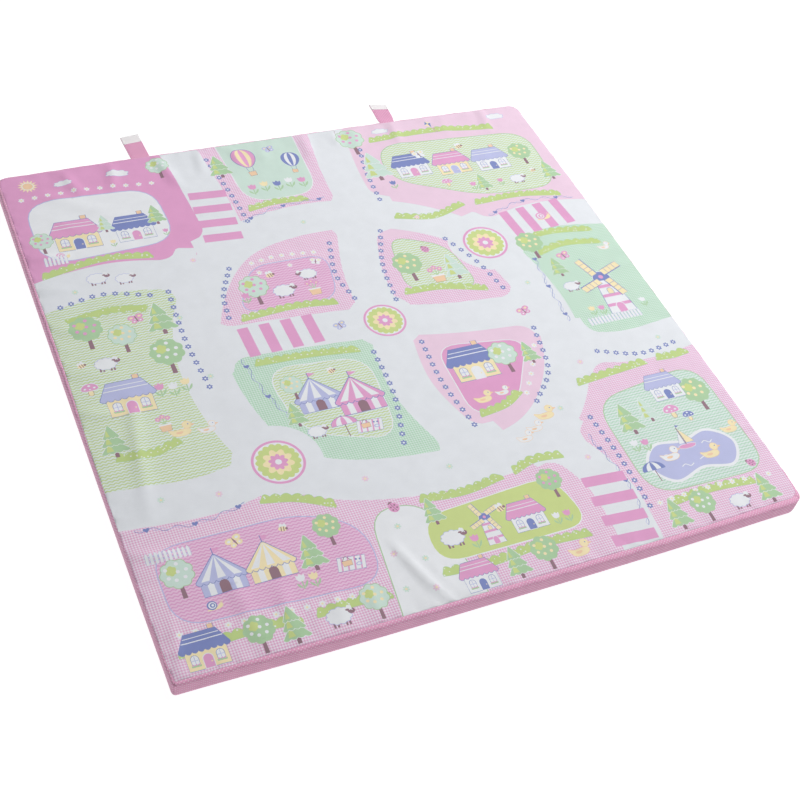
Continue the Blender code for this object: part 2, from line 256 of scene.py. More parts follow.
def puckers(x, y, inward):
    """Short waves square to each seam, dying out with a power of the distance from it; their
    pitch and strength wander along the seam by slow sines."""
    run = np.where(np.abs(x / HALF_WIDTH) > np.abs(y / HALF_DEPTH), y, x)
    side_mark = np.where(np.abs(x / HALF_WIDTH) > np.abs(y / HALF_DEPTH), np.sign(x) * 1.7,
                         np.sign(y) * 3.1)
    slow = np.sin(23.0 * run + side_mark) + 0.7 * np.sin(61.0 * run + 2.0 * side_mark)
    fine = np.sin(2.0 * math.pi * run / PUCKER_PITCHES[0] + 2.2 * slow)
    broad = np.sin(2.0 * math.pi * run / PUCKER_PITCHES[1] + 1.6 * slow + side_mark)
    strength = 0.55 + 0.45 * np.sin(9.0 * run + side_mark)
    near = np.exp(-inward / PUCKER_REACHES[0]) * np.minimum(1, inward / 0.002)
    far = np.exp(-inward / PUCKER_REACHES[1]) * np.minimum(1, inward / 0.004)
    return PUCKER_HEIGHTS[0] * strength * fine * near + PUCKER_HEIGHTS[1] * broad * far


def drift(x, y):
    """Slow unevenness of the loose cloth: four crossed sines of unlike pitch."""
    return (0.00022 * np.sin(21.0 * x + 13.0 * y + 0.6) * np.sin(17.0 * y - 9.0 * x)
            + 0.00014 * np.sin(47.0 * x - 31.0 * y + 1.9) * np.sin(39.0 * y + 22.0 * x))


def level_top(x, y):
    """Height of the top with no unevenness: a low crown inside a rolled edge."""
    shoulder = ((1 - np.minimum(1, np.abs(x / HALF_WIDTH)) ** SHOULDER_POWER)
                * (1 - np.minimum(1, np.abs(y / HALF_DEPTH)) ** SHOULDER_POWER))
    crown = np.maximum((1 - (x / HALF_WIDTH) ** 2) * (1 - (y / HALF_DEPTH) ** 2), 0.0)
    return HEIGHT_AT_SEAM + SHOULDER_RISE * shoulder + CROWN * crown


def print_face(x, y):
    """Height of the print: the level top with its ridges, puckers and drift, all of it fading
    into the seam, and drawn down where the stitches hold it."""
    inward = seam_distance(x, y)
    raised = sum(ridge(x, y, fold) for fold in FOLDS + FINE_CREASES)
    free = 1.0 - np.exp(-inward / SEAM_ROLL)
    return (HEIGHT_AT_SEAM + (level_top(x, y) - HEIGHT_AT_SEAM + raised + drift(x, y)) * free
            + puckers(x, y, inward) - SEAM_DIP * (1.0 - free))


# The printer's inks. Each has a ground colour, and some have a fine figure over it in a second
# colour: gingham checks, rows of waves, or specks.
INKS = {
    # name: (ground colour, figure colour, figure)
    "path": ((228, 231, 236), None, None),
    "gingham": ((240, 230, 241), (226, 168, 206), "gingham"),
    "mint gingham": ((218, 232, 226), (174, 214, 184), "gingham"),
    "lime waves": ((222, 233, 230), (200, 216, 158), "waves"),
    "mint waves": ((220, 231, 228), (186, 217, 198), "waves"),
    "rose waves": ((234, 198, 223), (223, 164, 206), "waves"),
    "hedge": ((194, 214, 142), (228, 234, 230), "specks"),
    "rose": ((226, 164, 205), None, None),
    "blush": ((234, 206, 225), None, None),
    "mint": ((206, 226, 216), None, None),
    "leaf": ((176, 208, 168), None, None),
    "lime": ((204, 218, 146), None, None),
    "sky": ((130, 142, 196), None, None),
    "lilac": ((188, 192, 228), None, None),
    "butter": ((243, 228, 186), None, None),
    "apricot": ((240, 206, 172), None, None),
    "cocoa": ((152, 122, 134), None, None),
    "white": ((234, 236, 240), None, None),
}
INK_NAMES = list(INKS)
STEP = 0.0070                    # longest straight piece of a printed outline
printed = []                     # (ink number, outline), the later ones over the earlier


def ellipse(x, y, rx, ry=None, count=20):
    """A round outline: cosine and sine of equal steps of angle."""
    angle = np.arange(count) * 2 * math.pi / count
    return np.stack([x + rx * np.cos(angle), y + (ry or rx) * np.sin(angle)], axis=1)


def petals(x, y, r, depth, count, turn=0.0, around=48):
    """A scalloped round: the radius rises and falls with the size of a sine, count times."""
    angle = np.arange(around) * 2 * math.pi / around
    radius = r * (1 - depth + depth * np.abs(np.sin((angle + turn) * count / 2.0)))
    return np.stack([x + radius * np.cos(angle), y + radius * np.sin(angle)], axis=1)


def star(x, y, outer, inner, tips, turn=0.0):
    """Points on two radii by turns."""
    angle = turn + np.arange(2 * tips) * math.pi / tips
    radius = np.where(np.arange(2 * tips) % 2 == 0, outer, inner)
    return np.stack([x + radius * np.cos(angle), y + radius * np.sin(angle)], axis=1)


def heart(x, y, size, count=26):
    """The common heart curve: a cubed sine across, and four cosines up."""
    t = -np.arange(count) * 2 * math.pi / count
    up = 13 * np.cos(t) - 5 * np.cos(2 * t) - 2 * np.cos(3 * t) - np.cos(4 * t)
    return np.stack([x + size * np.sin(t) ** 3, y + size * up / 16.0], axis=1)[::-1]


def soften(points, rounds=2):
    """Round a closed outline by cutting each corner at a quarter and three quarters."""
    line = np.asarray(points, float)
    for _ in range(rounds):
        after = np.roll(line, -1, axis=0)
        line = np.stack([0.75 * line + 0.25 * after, 0.25 * line + 0.75 * after], axis=1)
        line = line.reshape(-1, 2)
    return line


def panel(x0, y0, x1, y1, lean=0.0):
    """A four-sided piece, narrower at its top by lean on each side."""
    return np.array([(x0, y0), (x1, y0), (x1 - lean, y1), (x0 + lean, y1)], float)


def arch(x, y, width, height, count=9):
    """A door or window: straight sides and a half round top."""
    angle = np.linspace(0, math.pi, count)
    top = np.stack([x + width / 2 * np.cos(angle), y + height - width / 2 * (1 - np.sin(angle))],
                   axis=1)
    return np.concatenate([[(x - width / 2, y), (x + width / 2, y)], top])


def square_to(path):
    """Unit steps to the right of a line's run, from the slope at each of its points."""
    way = np.gradient(path, axis=0)
    way /= np.linalg.norm(way, axis=1)[:, None]
    return np.stack([way[:, 1], -way[:, 0]], axis=1)


def ribbon(path, width):
    """A band along a line of points: each point moved half the width to either side. The width
    is one number or one for each point."""
    path = np.asarray(path, float)
    across = square_to(path) * np.broadcast_to(np.asarray(width) / 2.0, len(path))[:, None]
    return np.concatenate([path + across, (path - across)[::-1]])


def running_length(path):
    """Length along a line from its start to each of its points."""
    return np.concatenate([[0.0], np.cumsum(np.linalg.norm(np.diff(path, axis=0), axis=1))])


def walk(path, pitch):
    """Points at even steps of length along a line, by its running length."""
    far = running_length(path)
    stops = np.linspace(0.0, far[-1], max(2, int(round(far[-1] / pitch)) + 1))
    return np.stack([np.interp(stops, far, path[:, axis]) for axis in (0, 1)], axis=1)


def bend(points, steps=12):
    """A smooth line through a few points, from cubic pieces whose slopes join their neighbours."""
    points = np.asarray(points, float)
    ends = np.concatenate([[2 * points[0] - points[1]], points, [2 * points[-1] - points[-2]]])
    t = np.linspace(0, 1, steps, endpoint=False)[:, None]
    pieces = [0.5 * (2 * b + (c - a) * t + (2 * a - 5 * b + 4 * c - d) * t ** 2
                     + (3 * b - a - 3 * c + d) * t ** 3)
              for a, b, c, d in zip(ends[:-3], ends[1:-2], ends[2:-1], ends[3:])]
    return np.concatenate(pieces + [points[-1:]])


def loop(points, steps=12):
    """The same smooth line, closed on itself."""
    points = np.asarray(points, float)
    wrapped = np.concatenate([points[-1:], points, points[:2]])
    return bend(wrapped, steps)[steps:-steps - 1]


def turn_of(outline):
    """Twice the area an outline encloses: above nought where it runs counterclockwise."""
    after = np.roll(outline, -1, axis=0)
    return np.sum(outline[:, 0] * after[:, 1] - outline[:, 1] * after[:, 0])


def grow(outline, width):
    """An outline moved outwards by width, square to its own run."""
    outline = np.asarray(outline, float)
    way = np.roll(outline, -1, axis=0) - np.roll(outline, 1, axis=0)
    way /= np.linalg.norm(way, axis=1)[:, None]
    outwards = width if turn_of(outline) > 0 else -width
    return outline + outwards * np.stack([way[:, 1], -way[:, 0]], axis=1)


def edged(ink, outline, line="sky", width=0.9):
    """A shape with a drawn edge: a grown copy in the line's ink under it."""
    return [(line, grow(outline, width)), (ink, outline)]


def lay(shapes, x=0.0, y=0.0, size=1.0, turn=0.0):
    """Print shapes drawn and placed in millimetres: sized, turned, moved and cut into short steps."""
    cosine, sine = math.cos(turn), math.sin(turn)
    for ink, outline in shapes:
        points = np.asarray(outline, float) * (size, abs(size))
        points = (points @ np.array([(cosine, sine), (-sine, cosine)]) + (x, y)) / 1000.0
        if turn_of(points) < 0:
            points = points[::-1]
        after = np.roll(points, -1, axis=0)
        cuts = np.maximum(1, np.ceil(np.linalg.norm(after - points, axis=1) / STEP)).astype(int)
        start = np.repeat(np.arange(len(points)), cuts)
        share = (np.arange(cuts.sum()) - np.repeat(np.cumsum(cuts) - cuts, cuts)) / cuts[start]
        line = points[start] + (after - points)[start] * share[:, None]
        printed.append((INK_NAMES.index(ink), line))


# Motifs, each drawn in millimetres with its foot at nought and its top up
def cottage(wall="butter", roof="rose", door="sky"):
    """A cottage: walls, a sloping roof with a scalloped eave, door, windows and chimney."""
    eave = np.linspace(-38, 38, 33)
    lip = np.stack([eave, 31 - 3.2 * np.abs(np.sin(math.pi * eave / 9.5))], axis=1)
    shapes = edged("apricot", panel(14, 46, 22, 68))
    shapes += edged(wall, panel(-31, 0, 31, 36))
    shapes += edged(roof, np.concatenate([lip, [(38, 33), (24, 60), (-24, 60), (-38, 33)]]))
    shapes += [("white", ribbon([(-31, 46), (31, 46)], 1.6)),
               ("white", ribbon([(-27, 53), (27, 53)], 1.2))]
    shapes += edged(door, arch(0, 0, 14, 22), "white", 1.3)
    shapes += [("butter", ellipse(4, 9, 1.2, count=8))]
    for middle in (-19, 19):
        shapes += edged("white", arch(middle, 9, 11, 15), "sky", 0.8)
        shapes += [("lilac", ribbon([(middle, 10), (middle, 23)], 1.0)),
                   ("lilac", ribbon([(middle - 5, 16), (middle + 5, 16)], 1.0)),
                   ("leaf", panel(middle - 7, 5.5, middle + 7, 8.5, -0.6))]
        shapes += [("rose", ellipse(middle + step, 9, 1.5, count=8)) for step in (-4.5, 0, 4.5)]
    return shapes


def fir(tone="leaf", light="lime"):
    """A fir tree: a trunk and three skirts, each smaller than the one below it."""
    shapes = [("cocoa", panel(-3, -2, 3, 12))]
    for foot, width, height in ((8, 21, 26), (22, 17, 24), (36, 12, 22)):
        hem = np.linspace(-width, width, 17)
        lip = np.stack([hem, foot - 2.4 * np.abs(np.sin(math.pi * hem / (width * 0.5)))], axis=1)
        shapes += edged(tone, np.concatenate([lip, [(0.8, foot + height), (-0.8, foot + height)]]),
                        "white", 0.8)
        shapes += [(light, panel(-width * 0.62, foot + 2, -width * 0.1, foot + height * 0.62,
                                 width * 0.2))]
    return shapes


def fruit_tree(tone="mint", fruit="rose"):
    """A round tree: a scalloped crown, a forked trunk and its fruit."""
    shapes = [("cocoa", panel(-3.2, 0, 3.2, 26, 0.8)),
              ("cocoa", ribbon([(0, 16), (8, 28)], 2.2)), ("cocoa", ribbon([(0, 18), (-8, 30)], 2.2))]
    shapes += edged(tone, petals(0, 38, 22, 0.14, 9), "leaf", 1.2)
    shapes += [("lime", petals(-6, 44, 8, 0.2, 6, around=24))]
    places = ((-12, 34), (-3, 29), (9, 31), (13, 42), (2, 41), (3, 53), (-13, 47))
    return shapes + [(fruit, ellipse(x, y, 2.7, count=10)) for x, y in places]


def tulip(cup="rose"):
    """A tulip: stem, two leaves and a three-pointed cup."""
    return [("leaf", ribbon([(0, 0), (0.4, 14)], 1.8)),
            ("leaf", soften([(0, 1), (7, 6), (9, 14), (4, 9)])),
            ("leaf", soften([(0, 1), (-7, 5), (-8, 12), (-4, 8)])),
            (cup, soften([(-6, 15), (0, 12), (6, 15), (6.5, 25), (3, 21), (0, 26), (-3, 21),
                          (-6.5, 25)], 1))]


def daisy(petal="white", heart_ink="butter"):
    """A daisy head: scalloped petals round a button."""
    return [(petal, petals(0, 0, 7, 0.45, 7, around=28)), (heart_ink, ellipse(0, 0, 2.2, count=10))]


def mushroom(cap="rose"):
    """A mushroom: a stalk under a half round cap with spots."""
    return (edged("butter", soften([(-4, 0), (4, 0), (3, 12), (-3, 12)]), "cocoa", 0.6)
            + edged(cap, soften([(-13, 10), (13, 10), (12, 19), (5, 24), (-5, 24), (-12, 19)]),
                    "white", 0.8)
            + [("white", ellipse(x, y, r, r * 0.8, 9)) for x, y, r in ((-7, 15, 2.2), (0, 20, 2.4),
                                                                      (7, 15, 2.0), (0, 13, 1.4))])


def sheep():
    """A sheep: four legs, a scalloped fleece, a dark face and an ear."""
    shapes = [("cocoa", panel(x - 1.5, 0, x + 1.5, 10)) for x in (-11, -6, 6, 11)]
    shapes += edged("white", petals(0, 16, 16, 0.16, 11) * (1.15, 0.8) + (0, 3.4), "lilac", 1.0)
    return shapes + [("cocoa", ellipse(19, 20, 5.5, 4.4, 14)),
                     ("white", petals(17, 25, 4.5, 0.2, 5, around=20)),
                     ("cocoa", ellipse(14, 22, 3.2, 1.7, 8)),
                     ("white", ellipse(20.5, 21, 0.9, count=6))]


def duck(coat="butter"):
    """A swimming duck: body, head, beak, wing and eye."""
    return (edged(coat, soften([(-16, 9), (-12, 1), (6, 0), (15, 6), (12, 13), (0, 12), (-10, 11),
                                (-19, 15)]), "apricot", 0.7)
            + edged(coat, ellipse(11, 19, 6.6, count=16), "apricot", 0.7)
            + [("apricot", soften([(16, 20), (24, 18), (17, 15)], 1)),
               ("sky", ellipse(13, 20, 1.1, count=7)),
               ("apricot", soften([(-9, 9), (4, 9), (0, 4), (-8, 5)]))])


def boat(hull="rose", sail="butter"):
    """A sailing boat: hull, mast, two sails and a pennant."""
    return (edged(hull, soften([(-18, 8), (18, 8), (13, 0), (-13, 0)], 1), "white", 0.9)
            + [("cocoa", ribbon([(0, 8), (0, 44)], 1.5))]
            + edged(sail, [(1.6, 11), (17, 11), (1.6, 40)], "sky", 0.6)
            + edged("white", [(-1.6, 11), (-1.6, 36), (-12, 11)], "sky", 0.6)
            + [("sky", [(0.5, 44), (8, 46.5), (0.5, 49)])])


def balloon(first="rose", second="butter"):
    """A hot-air balloon: a round envelope in gores, its ropes and its basket."""
    envelope = soften([(-7, 24), (7, 24), (20, 42), (20, 60), (9, 71), (-9, 71), (-20, 60), (-20, 42)])
    shapes = edged(first, envelope, "sky", 0.9)
    for squeeze in (0.62, 0.22):
        shapes += [(second if squeeze > 0.5 else first, (envelope - (0, 48)) * (squeeze, 0.985) + (0, 48))]
    shapes += [("sky", ribbon([(-6, 24), (-4, 12)], 0.8)), ("sky", ribbon([(6, 24), (4, 12)], 0.8))]
    return shapes + edged("apricot", panel(-5.5, 2, 5.5, 12, -0.8), "cocoa", 0.7)


def kite(sail="sky", tail="rose"):
    """A kite: a diamond in quarters and a bent tail with bows."""
    shapes = [("cocoa", ribbon(bend([(0, -20), (5, -30), (-3, -40), (3, -52)], 6), 0.9))]
    for x, y in ((4, -27), (-1, -37), (2, -48)):
        shapes += [(tail, [(x - 5, y - 3), (x, y), (x - 5, y + 3)]),
                   (tail, [(x + 5, y + 3), (x, y), (x + 5, y - 3)])]
    shapes += edged(sail, [(0, -20), (14, 4), (0, 20), (-14, 4)], "white", 0.9)
    return shapes + [("butter", [(0, 4), (14, 4), (0, 20)]),
                     ("butter", [(0, 4), (-14, 4), (0, -20)])]


def cloud(ink="white"):
    """A cloud: a wide scalloped round with a flat foot."""
    puff = petals(0, 0, 16, 0.22, 8, 0.2) * (1.5, 0.72)
    return edged(ink, np.column_stack([puff[:, 0], np.maximum(puff[:, 1], -7.5)]), "lilac", 1.0)


def sun(ink="butter"):
    """A sun: a disc in front of pointed rays."""
    return [(ink, star(0, 0, 20, 12, 14)), ("white", ellipse(0, 0, 11.6, count=24)),
            ("apricot", ellipse(0, 0, 10, count=24))]


def windmill():
    """A windmill: a tapered tower, its cap, door and windows, and four lattice sails."""
    shapes = edged("white", panel(-22, 0, 22, 70, 8), "sky", 1.0)
    shapes += [("rose", panel(-22 + 8 * y / 70, y, 22 - 8 * y / 70, y + 6, 0.7)) for y in (14, 34, 54)]
    shapes += edged("sky", soften([(-16, 69), (16, 69), (13, 82), (4, 88), (-4, 88), (-13, 82)]),
                    "white", 0.9)
    shapes += edged("rose", arch(0, 0, 13, 20), "white", 1.2)
    shapes += edged("butter", arch(0, 40, 9, 12), "sky", 0.8)
    for quarter in range(4):
        angle = 0.35 + quarter * math.pi / 2
        turned = np.array([(math.cos(angle), math.sin(angle)), (-math.sin(angle), math.cos(angle))])
        blade = edged("butter", panel(9, -1, 46, 11), "sky", 0.9)
        blade += [("sky", ribbon([(x, -1), (x, 11)], 0.7)) for x in (18, 27, 36)]
        blade += [("sky", ribbon([(0, -1), (47, -1)], 1.6))]
        shapes += [(ink, line @ turned + (0, 77)) for ink, line in blade]
    return shapes + [("rose", ellipse(0, 77, 4, count=12))]


def tent(first="lilac", second="white"):
    """A bell tent: a pointed roof in gores over a low wall, an open door and a pennant."""
    shapes = edged(first, panel(-27, 0, 27, 20), "sky", 0.9)
    shapes += [(second, panel(x, 0, x + 7.7, 20)) for x in (-19.3, -3.9, 11.6)]
    eave = np.linspace(-31, 31, 33)
    lip = np.stack([eave, 19 - 3.2 * np.abs(np.sin(math.pi * eave / 7.75))], axis=1)
    shapes += edged(first, np.concatenate([lip, [(31, 21), (0.8, 54), (-0.8, 54), (-31, 21)]]), "sky", 0.9)
    shapes += [(second, [(left, 20.5), (left + 10, 20.5), (0, 53)])
               for left in (-25, -5, 15)]
    shapes += [("cocoa", arch(0, 0, 12, 17)), ("sky", ribbon([(0, 53), (0, 64)], 1.2)),
               ("rose", [(0.4, 64), (11, 60.5), (0.4, 57)])]
    return shapes


def parasol(first="rose", second="white"):
    """A garden parasol: a half round in gores on a pole."""
    angle = np.linspace(0, math.pi, 19)
    dome = np.stack([26 * np.cos(angle), 30 + 20 * np.sin(angle)], axis=1)
    shapes = [("cocoa", ribbon([(0, 0), (0, 32)], 1.8))] + edged(first, dome, "sky", 0.8)
    for share in (0.62, 0.2):
        shapes += [(second if share > 0.5 else first, np.stack(
            [26 * share * np.cos(angle), 30 + 19.6 * np.sin(angle)], axis=1))]
    return shapes + [("sky", ellipse(0, 51, 1.6, count=8))]


def blanket():
    """A picnic blanket with a basket, a plate and two cups."""
    shapes = edged("white", [(-24, -10), (20, -14), (26, 9), (-18, 14)], "sky", 0.8)
    shapes += [("rose", ribbon([(-24 + s * 44, -10 - s * 4), (-18 + s * 44, 14 - s * 5)], 2.6))
               for s in (0.15, 0.38, 0.62, 0.85)]
    shapes += edged("apricot", panel(-12, -3, 2, 6, -1), "cocoa", 0.7)
    shapes += [("cocoa", ribbon(bend([(-12, 6), (-5, 14), (2, 6)], 6), 1.0)),
               ("lilac", ellipse(12, -4, 5, 3.4, 14)), ("white", ellipse(12, -4, 3, 2, 10)),
               ("sky", ellipse(10, 5, 1.8, count=8)), ("sky", ellipse(16, 4, 1.8, count=8))]
    return shapes


def snail(shell="rose"):
    """A snail: a soft body, two feelers and a shell of rings."""
    shapes = [("butter", soften([(-16, 0), (12, 0), (20, 6), (18, 14), (12, 11), (8, 5), (-8, 5)])),
              ("butter", ribbon([(16, 12), (15, 18)], 1.0)), ("butter", ribbon([(18, 12), (20, 18)], 1.0))]
    return shapes + [(ink, ellipse(-2 + shift, 11, r)) for ink, r, shift in
                     ((shell, 10, 0), ("white", 7.4, 0.6), (shell, 5.2, 1.2), ("white", 2.6, 1.6))]


def ladybird(coat="rose"):
    """A ladybird from above: head, round wings, a parting line and spots."""
    shapes = [("cocoa", ellipse(0, 8, 4.4, count=12)), (coat, ellipse(0, 0, 9, 9.6)),
              ("cocoa", ribbon([(0, -9), (0, 9)], 0.9))]
    places = ((-4, 3), (4, 3), (-4.5, -3), (4.5, -3))
    return shapes + [("cocoa", ellipse(x, y, 1.6, count=8)) for x, y in places]


def butterfly(wing="lilac", mark="butter"):
    """A butterfly: two pairs of wings with marks, and a body."""
    shapes = []
    for side in (-1, 1):
        shapes += [(wing, ellipse(7 * side, 5, 7, 5.6, 16)),
                   (wing, ellipse(5.6 * side, -4.6, 5.2, 4.4, 14)),
                   (mark, ellipse(7.6 * side, 5, 3, 2.4, 10)),
                   ("white", ellipse(5.8 * side, -4.6, 2, 1.6, 8))]
    return shapes + [("cocoa", ellipse(0, 0, 1.3, 8, 12))]


def bee():
    """A bee: wings over a striped oval."""
    return [("white", ellipse(-3, 7, 4, 6, 14)), ("white", ellipse(4, 7, 4, 6, 14)),
            ("butter", ellipse(0, 0, 9, 6)), ("cocoa", ribbon([(-3, -5.4), (-3, 5.4)], 2)),
            ("cocoa", ribbon([(2.4, -5.4), (2.4, 5.4)], 2)), ("cocoa", ellipse(8, 0.6, 3, count=10))]


def flower_pot(pot="apricot", bloom="rose"):
    """A pot of three blooms."""
    shapes = [("leaf", ribbon([(0, 14), (x, 26)], 1.3)) for x in (-8, 0, 8)]
    for x, y in ((-8, 27), (0, 31), (8, 27)):
        shapes += [(bloom, petals(x, y, 5.2, 0.35, 6, around=24)), ("butter", ellipse(x, y, 1.6, count=8))]
    return shapes + edged(pot, panel(-8, 0, 8, 14, -2.2), "cocoa", 0.6) + [("white", panel(-11, 12, 11, 15))]


def fence(count):
    """A picket fence of count pales on two rails."""
    length = count * 8.0
    shapes = [("lilac", ribbon([(0, y), (length, y)], 1.8)) for y in (6, 14)]
    for number in range(count):
        left = number * 8.0 + 1.4
        shapes += edged("white", [(left, 0), (left + 5, 0), (left + 5, 18), (left + 2.5, 22),
                                           (left, 18)], "lilac", 0.5)
    return shapes


HEDGE_STEP = 2.5                 # between the points of a hedge's and a vine's drawn line
VINE_STEP = 2.8


def hedge(path):
    """A clipped hedge along a line: a plain foot, and a top of equal scallops to its left."""
    line = walk(path, HEDGE_STEP)
    run = np.arange(len(line)) * HEDGE_STEP
    rise = 10.5 + 4.5 * np.abs(np.sin(math.pi * run / 15.0))
    rise *= np.minimum(1.0, 0.35 + np.minimum(run, run[-1] - run) / 8.0)
    outline = np.concatenate([line, (line - square_to(line) * rise[:, None])[::-1]])
    return edged("hedge", outline, "leaf", 0.7)


def vine(path):
    """A curling stem along a line: it swings to either side by a sine, with a heart at each
    second swing."""
    line = walk(path, VINE_STEP)
    run = np.arange(len(line)) * VINE_STEP
    side = square_to(line)
    shapes = [("sky", ribbon(line + side * (3.4 * np.sin(2 * math.pi * run / 34.0))[:, None], 0.9)),
              ("lilac", ribbon(line - side * (2.2 * np.sin(2 * math.pi * run / 17.0))[:, None], 0.7))]
    return shapes + [("sky", heart(*place, 4.6)) for place in line[6::24]]


def flower_row(path, pitch, ink="white", button="butter"):
    """Daisy heads at even steps along a line."""
    shapes = []
    for place in walk(path, pitch):
        shapes += [(ink, petals(*place, 5.4, 0.45, 6, 0.3, 24)), (button, ellipse(*place, 1.7, count=8))]
    return shapes


def crossing(length, count):
    """A foot crossing: broad rose bars side by side."""
    starts = [(step - count / 2) * 36.0 for step in range(count)]
    return [("rose", panel(start, -length / 2, start + 18.0, length / 2)) for start in starts]


def pond(water="lilac"):
    """A pond: a soft shape with a pale bank and ripples."""
    shore = loop([(-62, 0), (-40, 26), (0, 22), (38, 30), (64, 6), (46, -24), (4, -18), (-40, -28)])
    shapes = [("white", grow(shore, 4.0)), (water, shore)]
    for x, y, width in ((-30, 8, 20), (18, -8, 24), (30, 14, 16), (-14, -12, 18)):
        shapes += [("white", ribbon(bend([(x - width / 2, y), (x - width / 6, y + 2.4),
                                          (x + width / 6, y - 1.6), (x + width / 2, y + 1)], 5), 1.2))]
    return shapes


def flower_bed():
    """A round bed for a crossing: rings of colour, a wheel of petals and a button."""
    return [("rose", ellipse(0, 0, 40, count=60)), ("white", ellipse(0, 0, 36, count=56)),
            ("lime", petals(0, 0, 34, 0.1, 18, around=90)), ("butter", petals(0, 0, 24, 0.3, 9)),
            ("rose", petals(0, 0, 15, 0.3, 9, 0.35)), ("white", ellipse(0, 0, 5, count=16))]


def rounded(corners, radius):
    """A closed outline with each corner replaced by a smooth bend that starts radius before it:
    a curve pulled by the corner point."""
    corners = np.asarray(corners, float)
    before, after = np.roll(corners, 1, axis=0) - corners, np.roll(corners, -1, axis=0) - corners
    reach = [np.minimum(0.48, radius / np.linalg.norm(side, axis=1))[:, None] for side in (before, after)]
    first, last = corners + before * reach[0], corners + after * reach[1]
    t = np.linspace(0, 1, 7)[None, :, None]
    bends = ((1 - t) ** 2 * first[:, None] + 2 * t * (1 - t) * corners[:, None] + t ** 2 * last[:, None])
    return bends.reshape(-1, 2)


# The town's plan, in millimetres. Grounds lie on the gingham, the white lanes over them, and a garden
# with its own ground inside each block.
GROUNDS = (
    # ink, corners; most of their edges lie under the lanes
    ("rose", ((-600, 200), (-170, 220), (-170, 600), (-600, 600))),
    ("blush", ((60, 200), (600, 200), (600, 600), (60, 600))),
    ("blush", ((20, 10), (20, -300), (180, -280), (300, -10))),
    ("mint gingham", ((270, 160), (600, 160), (600, -120), (270, -100))),
    ("lime waves", ((-600, 200), (-270, 200), (-270, -210), (-600, -210))),
    ("mint gingham", ((20, -10), (-290, 30), (-250, -200), (-60, -280), (20, -280))),
)
RING_ROAD = ((-250, -205), (-70, -285), (160, -262), (288, -90), (262, 150), (80, 272), (-165, 248),
             (-292, 40))
LANE_WIDTH = 74.0
FLARE = 30.0                     # radius of the rounded corners where lanes meet
LANES = (
    # start, bend, end: the middles of the lanes that join the ring road
    ((-240, 195), (-380, 222), (-580, 190)),
    ((-165, 240), (-172, 400), (-190, 580)),
    ((80, 270), (84, 400), (110, 580)),
    ((262, 160), (400, 192), (580, 165)),
    ((284, -110), (400, -140), (580, -120)),
    ((160, -262), (212, -390), (200, -580)),
    ((-240, -205), (-370, -232), (-580, -212)),
    ((-290, 40), (-130, 32), (15, 20)),
    ((290, -20), (130, -4), (15, 20)),
    ((65, 275), (25, 140), (15, 20)),
    ((45, -280), (0, -130), (15, 20)),
)
PLAZAS = (
    # x, y, radius
    (-250, -205, 68),
    (262, 150, 68),
    (15, 20, 60),
)
GARDENS = (
    # ink, rim ink, bend radius, corners
    ("rose waves", "lilac", 35, ((-205, 95), (-40, 88), (-22, 190), (-155, 192))),
    ("lime waves", "leaf", 35, ((80, 75), (205, 52), (190, 160), (100, 205))),
    ("lime waves", "white", 50, ((-212, -30), (-45, -45), (-60, -215), (-195, -165))),
    ("rose", "white", 40, ((70, -55), (225, -78), (150, -200), (70, -210))),
    ("lime waves", "leaf", 50, ((165, 345), (315, 268), (470, 262), (475, 420), (175, 440))),
    ("mint", "white", 45, ((-105, 345), (25, 345), (35, 560), (-115, 560))),
    ("mint waves", "leaf", 50, ((270, -235), (475, -205), (480, -430), (268, -425))),
    ("rose waves", "lilac", 45, ((-470, -300), (-255, -300), (-175, -345), (-180, -440), (-470, -425))),
    ("white", "leaf", 45, ((-158, -326), (-74, -334), (-36, -600), (-190, -600))),
    ("lime", "white", 40, ((-90, -360), (130, -345), (150, -440), (-95, -440))),
    ("white", "lilac", 50, ((-470, 275), (-250, 285), (-255, 420), (-470, 425))),
)

TOWN_EDGE_POINTS = 290           # along each side
town = seam_loop(SEAM_HALF_GAP, TOWN_EDGE_POINTS)
printed.append((INK_NAMES.index("gingham"), town))
for ink, corners in GROUNDS:
    lay([(ink, corners)])
ring = loop(RING_ROAD, 16)
middle = len(ring) // 2
for part in (ring[:middle + 2], np.concatenate([ring[middle:], ring[:2]])):
    lay([("path", ribbon(part, LANE_WIDTH))])
for points in LANES:
    line = bend(points, 26)
    far = running_length(line)
    short = np.clip(FLARE - (far - LANE_WIDTH / 2.0), 0.0, FLARE)
    lay([("path", ribbon(line, LANE_WIDTH * 0.92 + 2 * (FLARE - np.sqrt(FLARE ** 2 - short ** 2))))])
for x, y, radius in PLAZAS:
    lay([("path", ellipse(x, y, radius, count=64))])
for ink, rim_ink, radius, corners in GARDENS:
    outline = rounded(corners, radius)
    lay([(rim_ink, grow(outline, 1.6)), (ink, outline)])
for x, y, radius in PLAZAS:
    lay(flower_bed(), x, y, radius / 68.0)

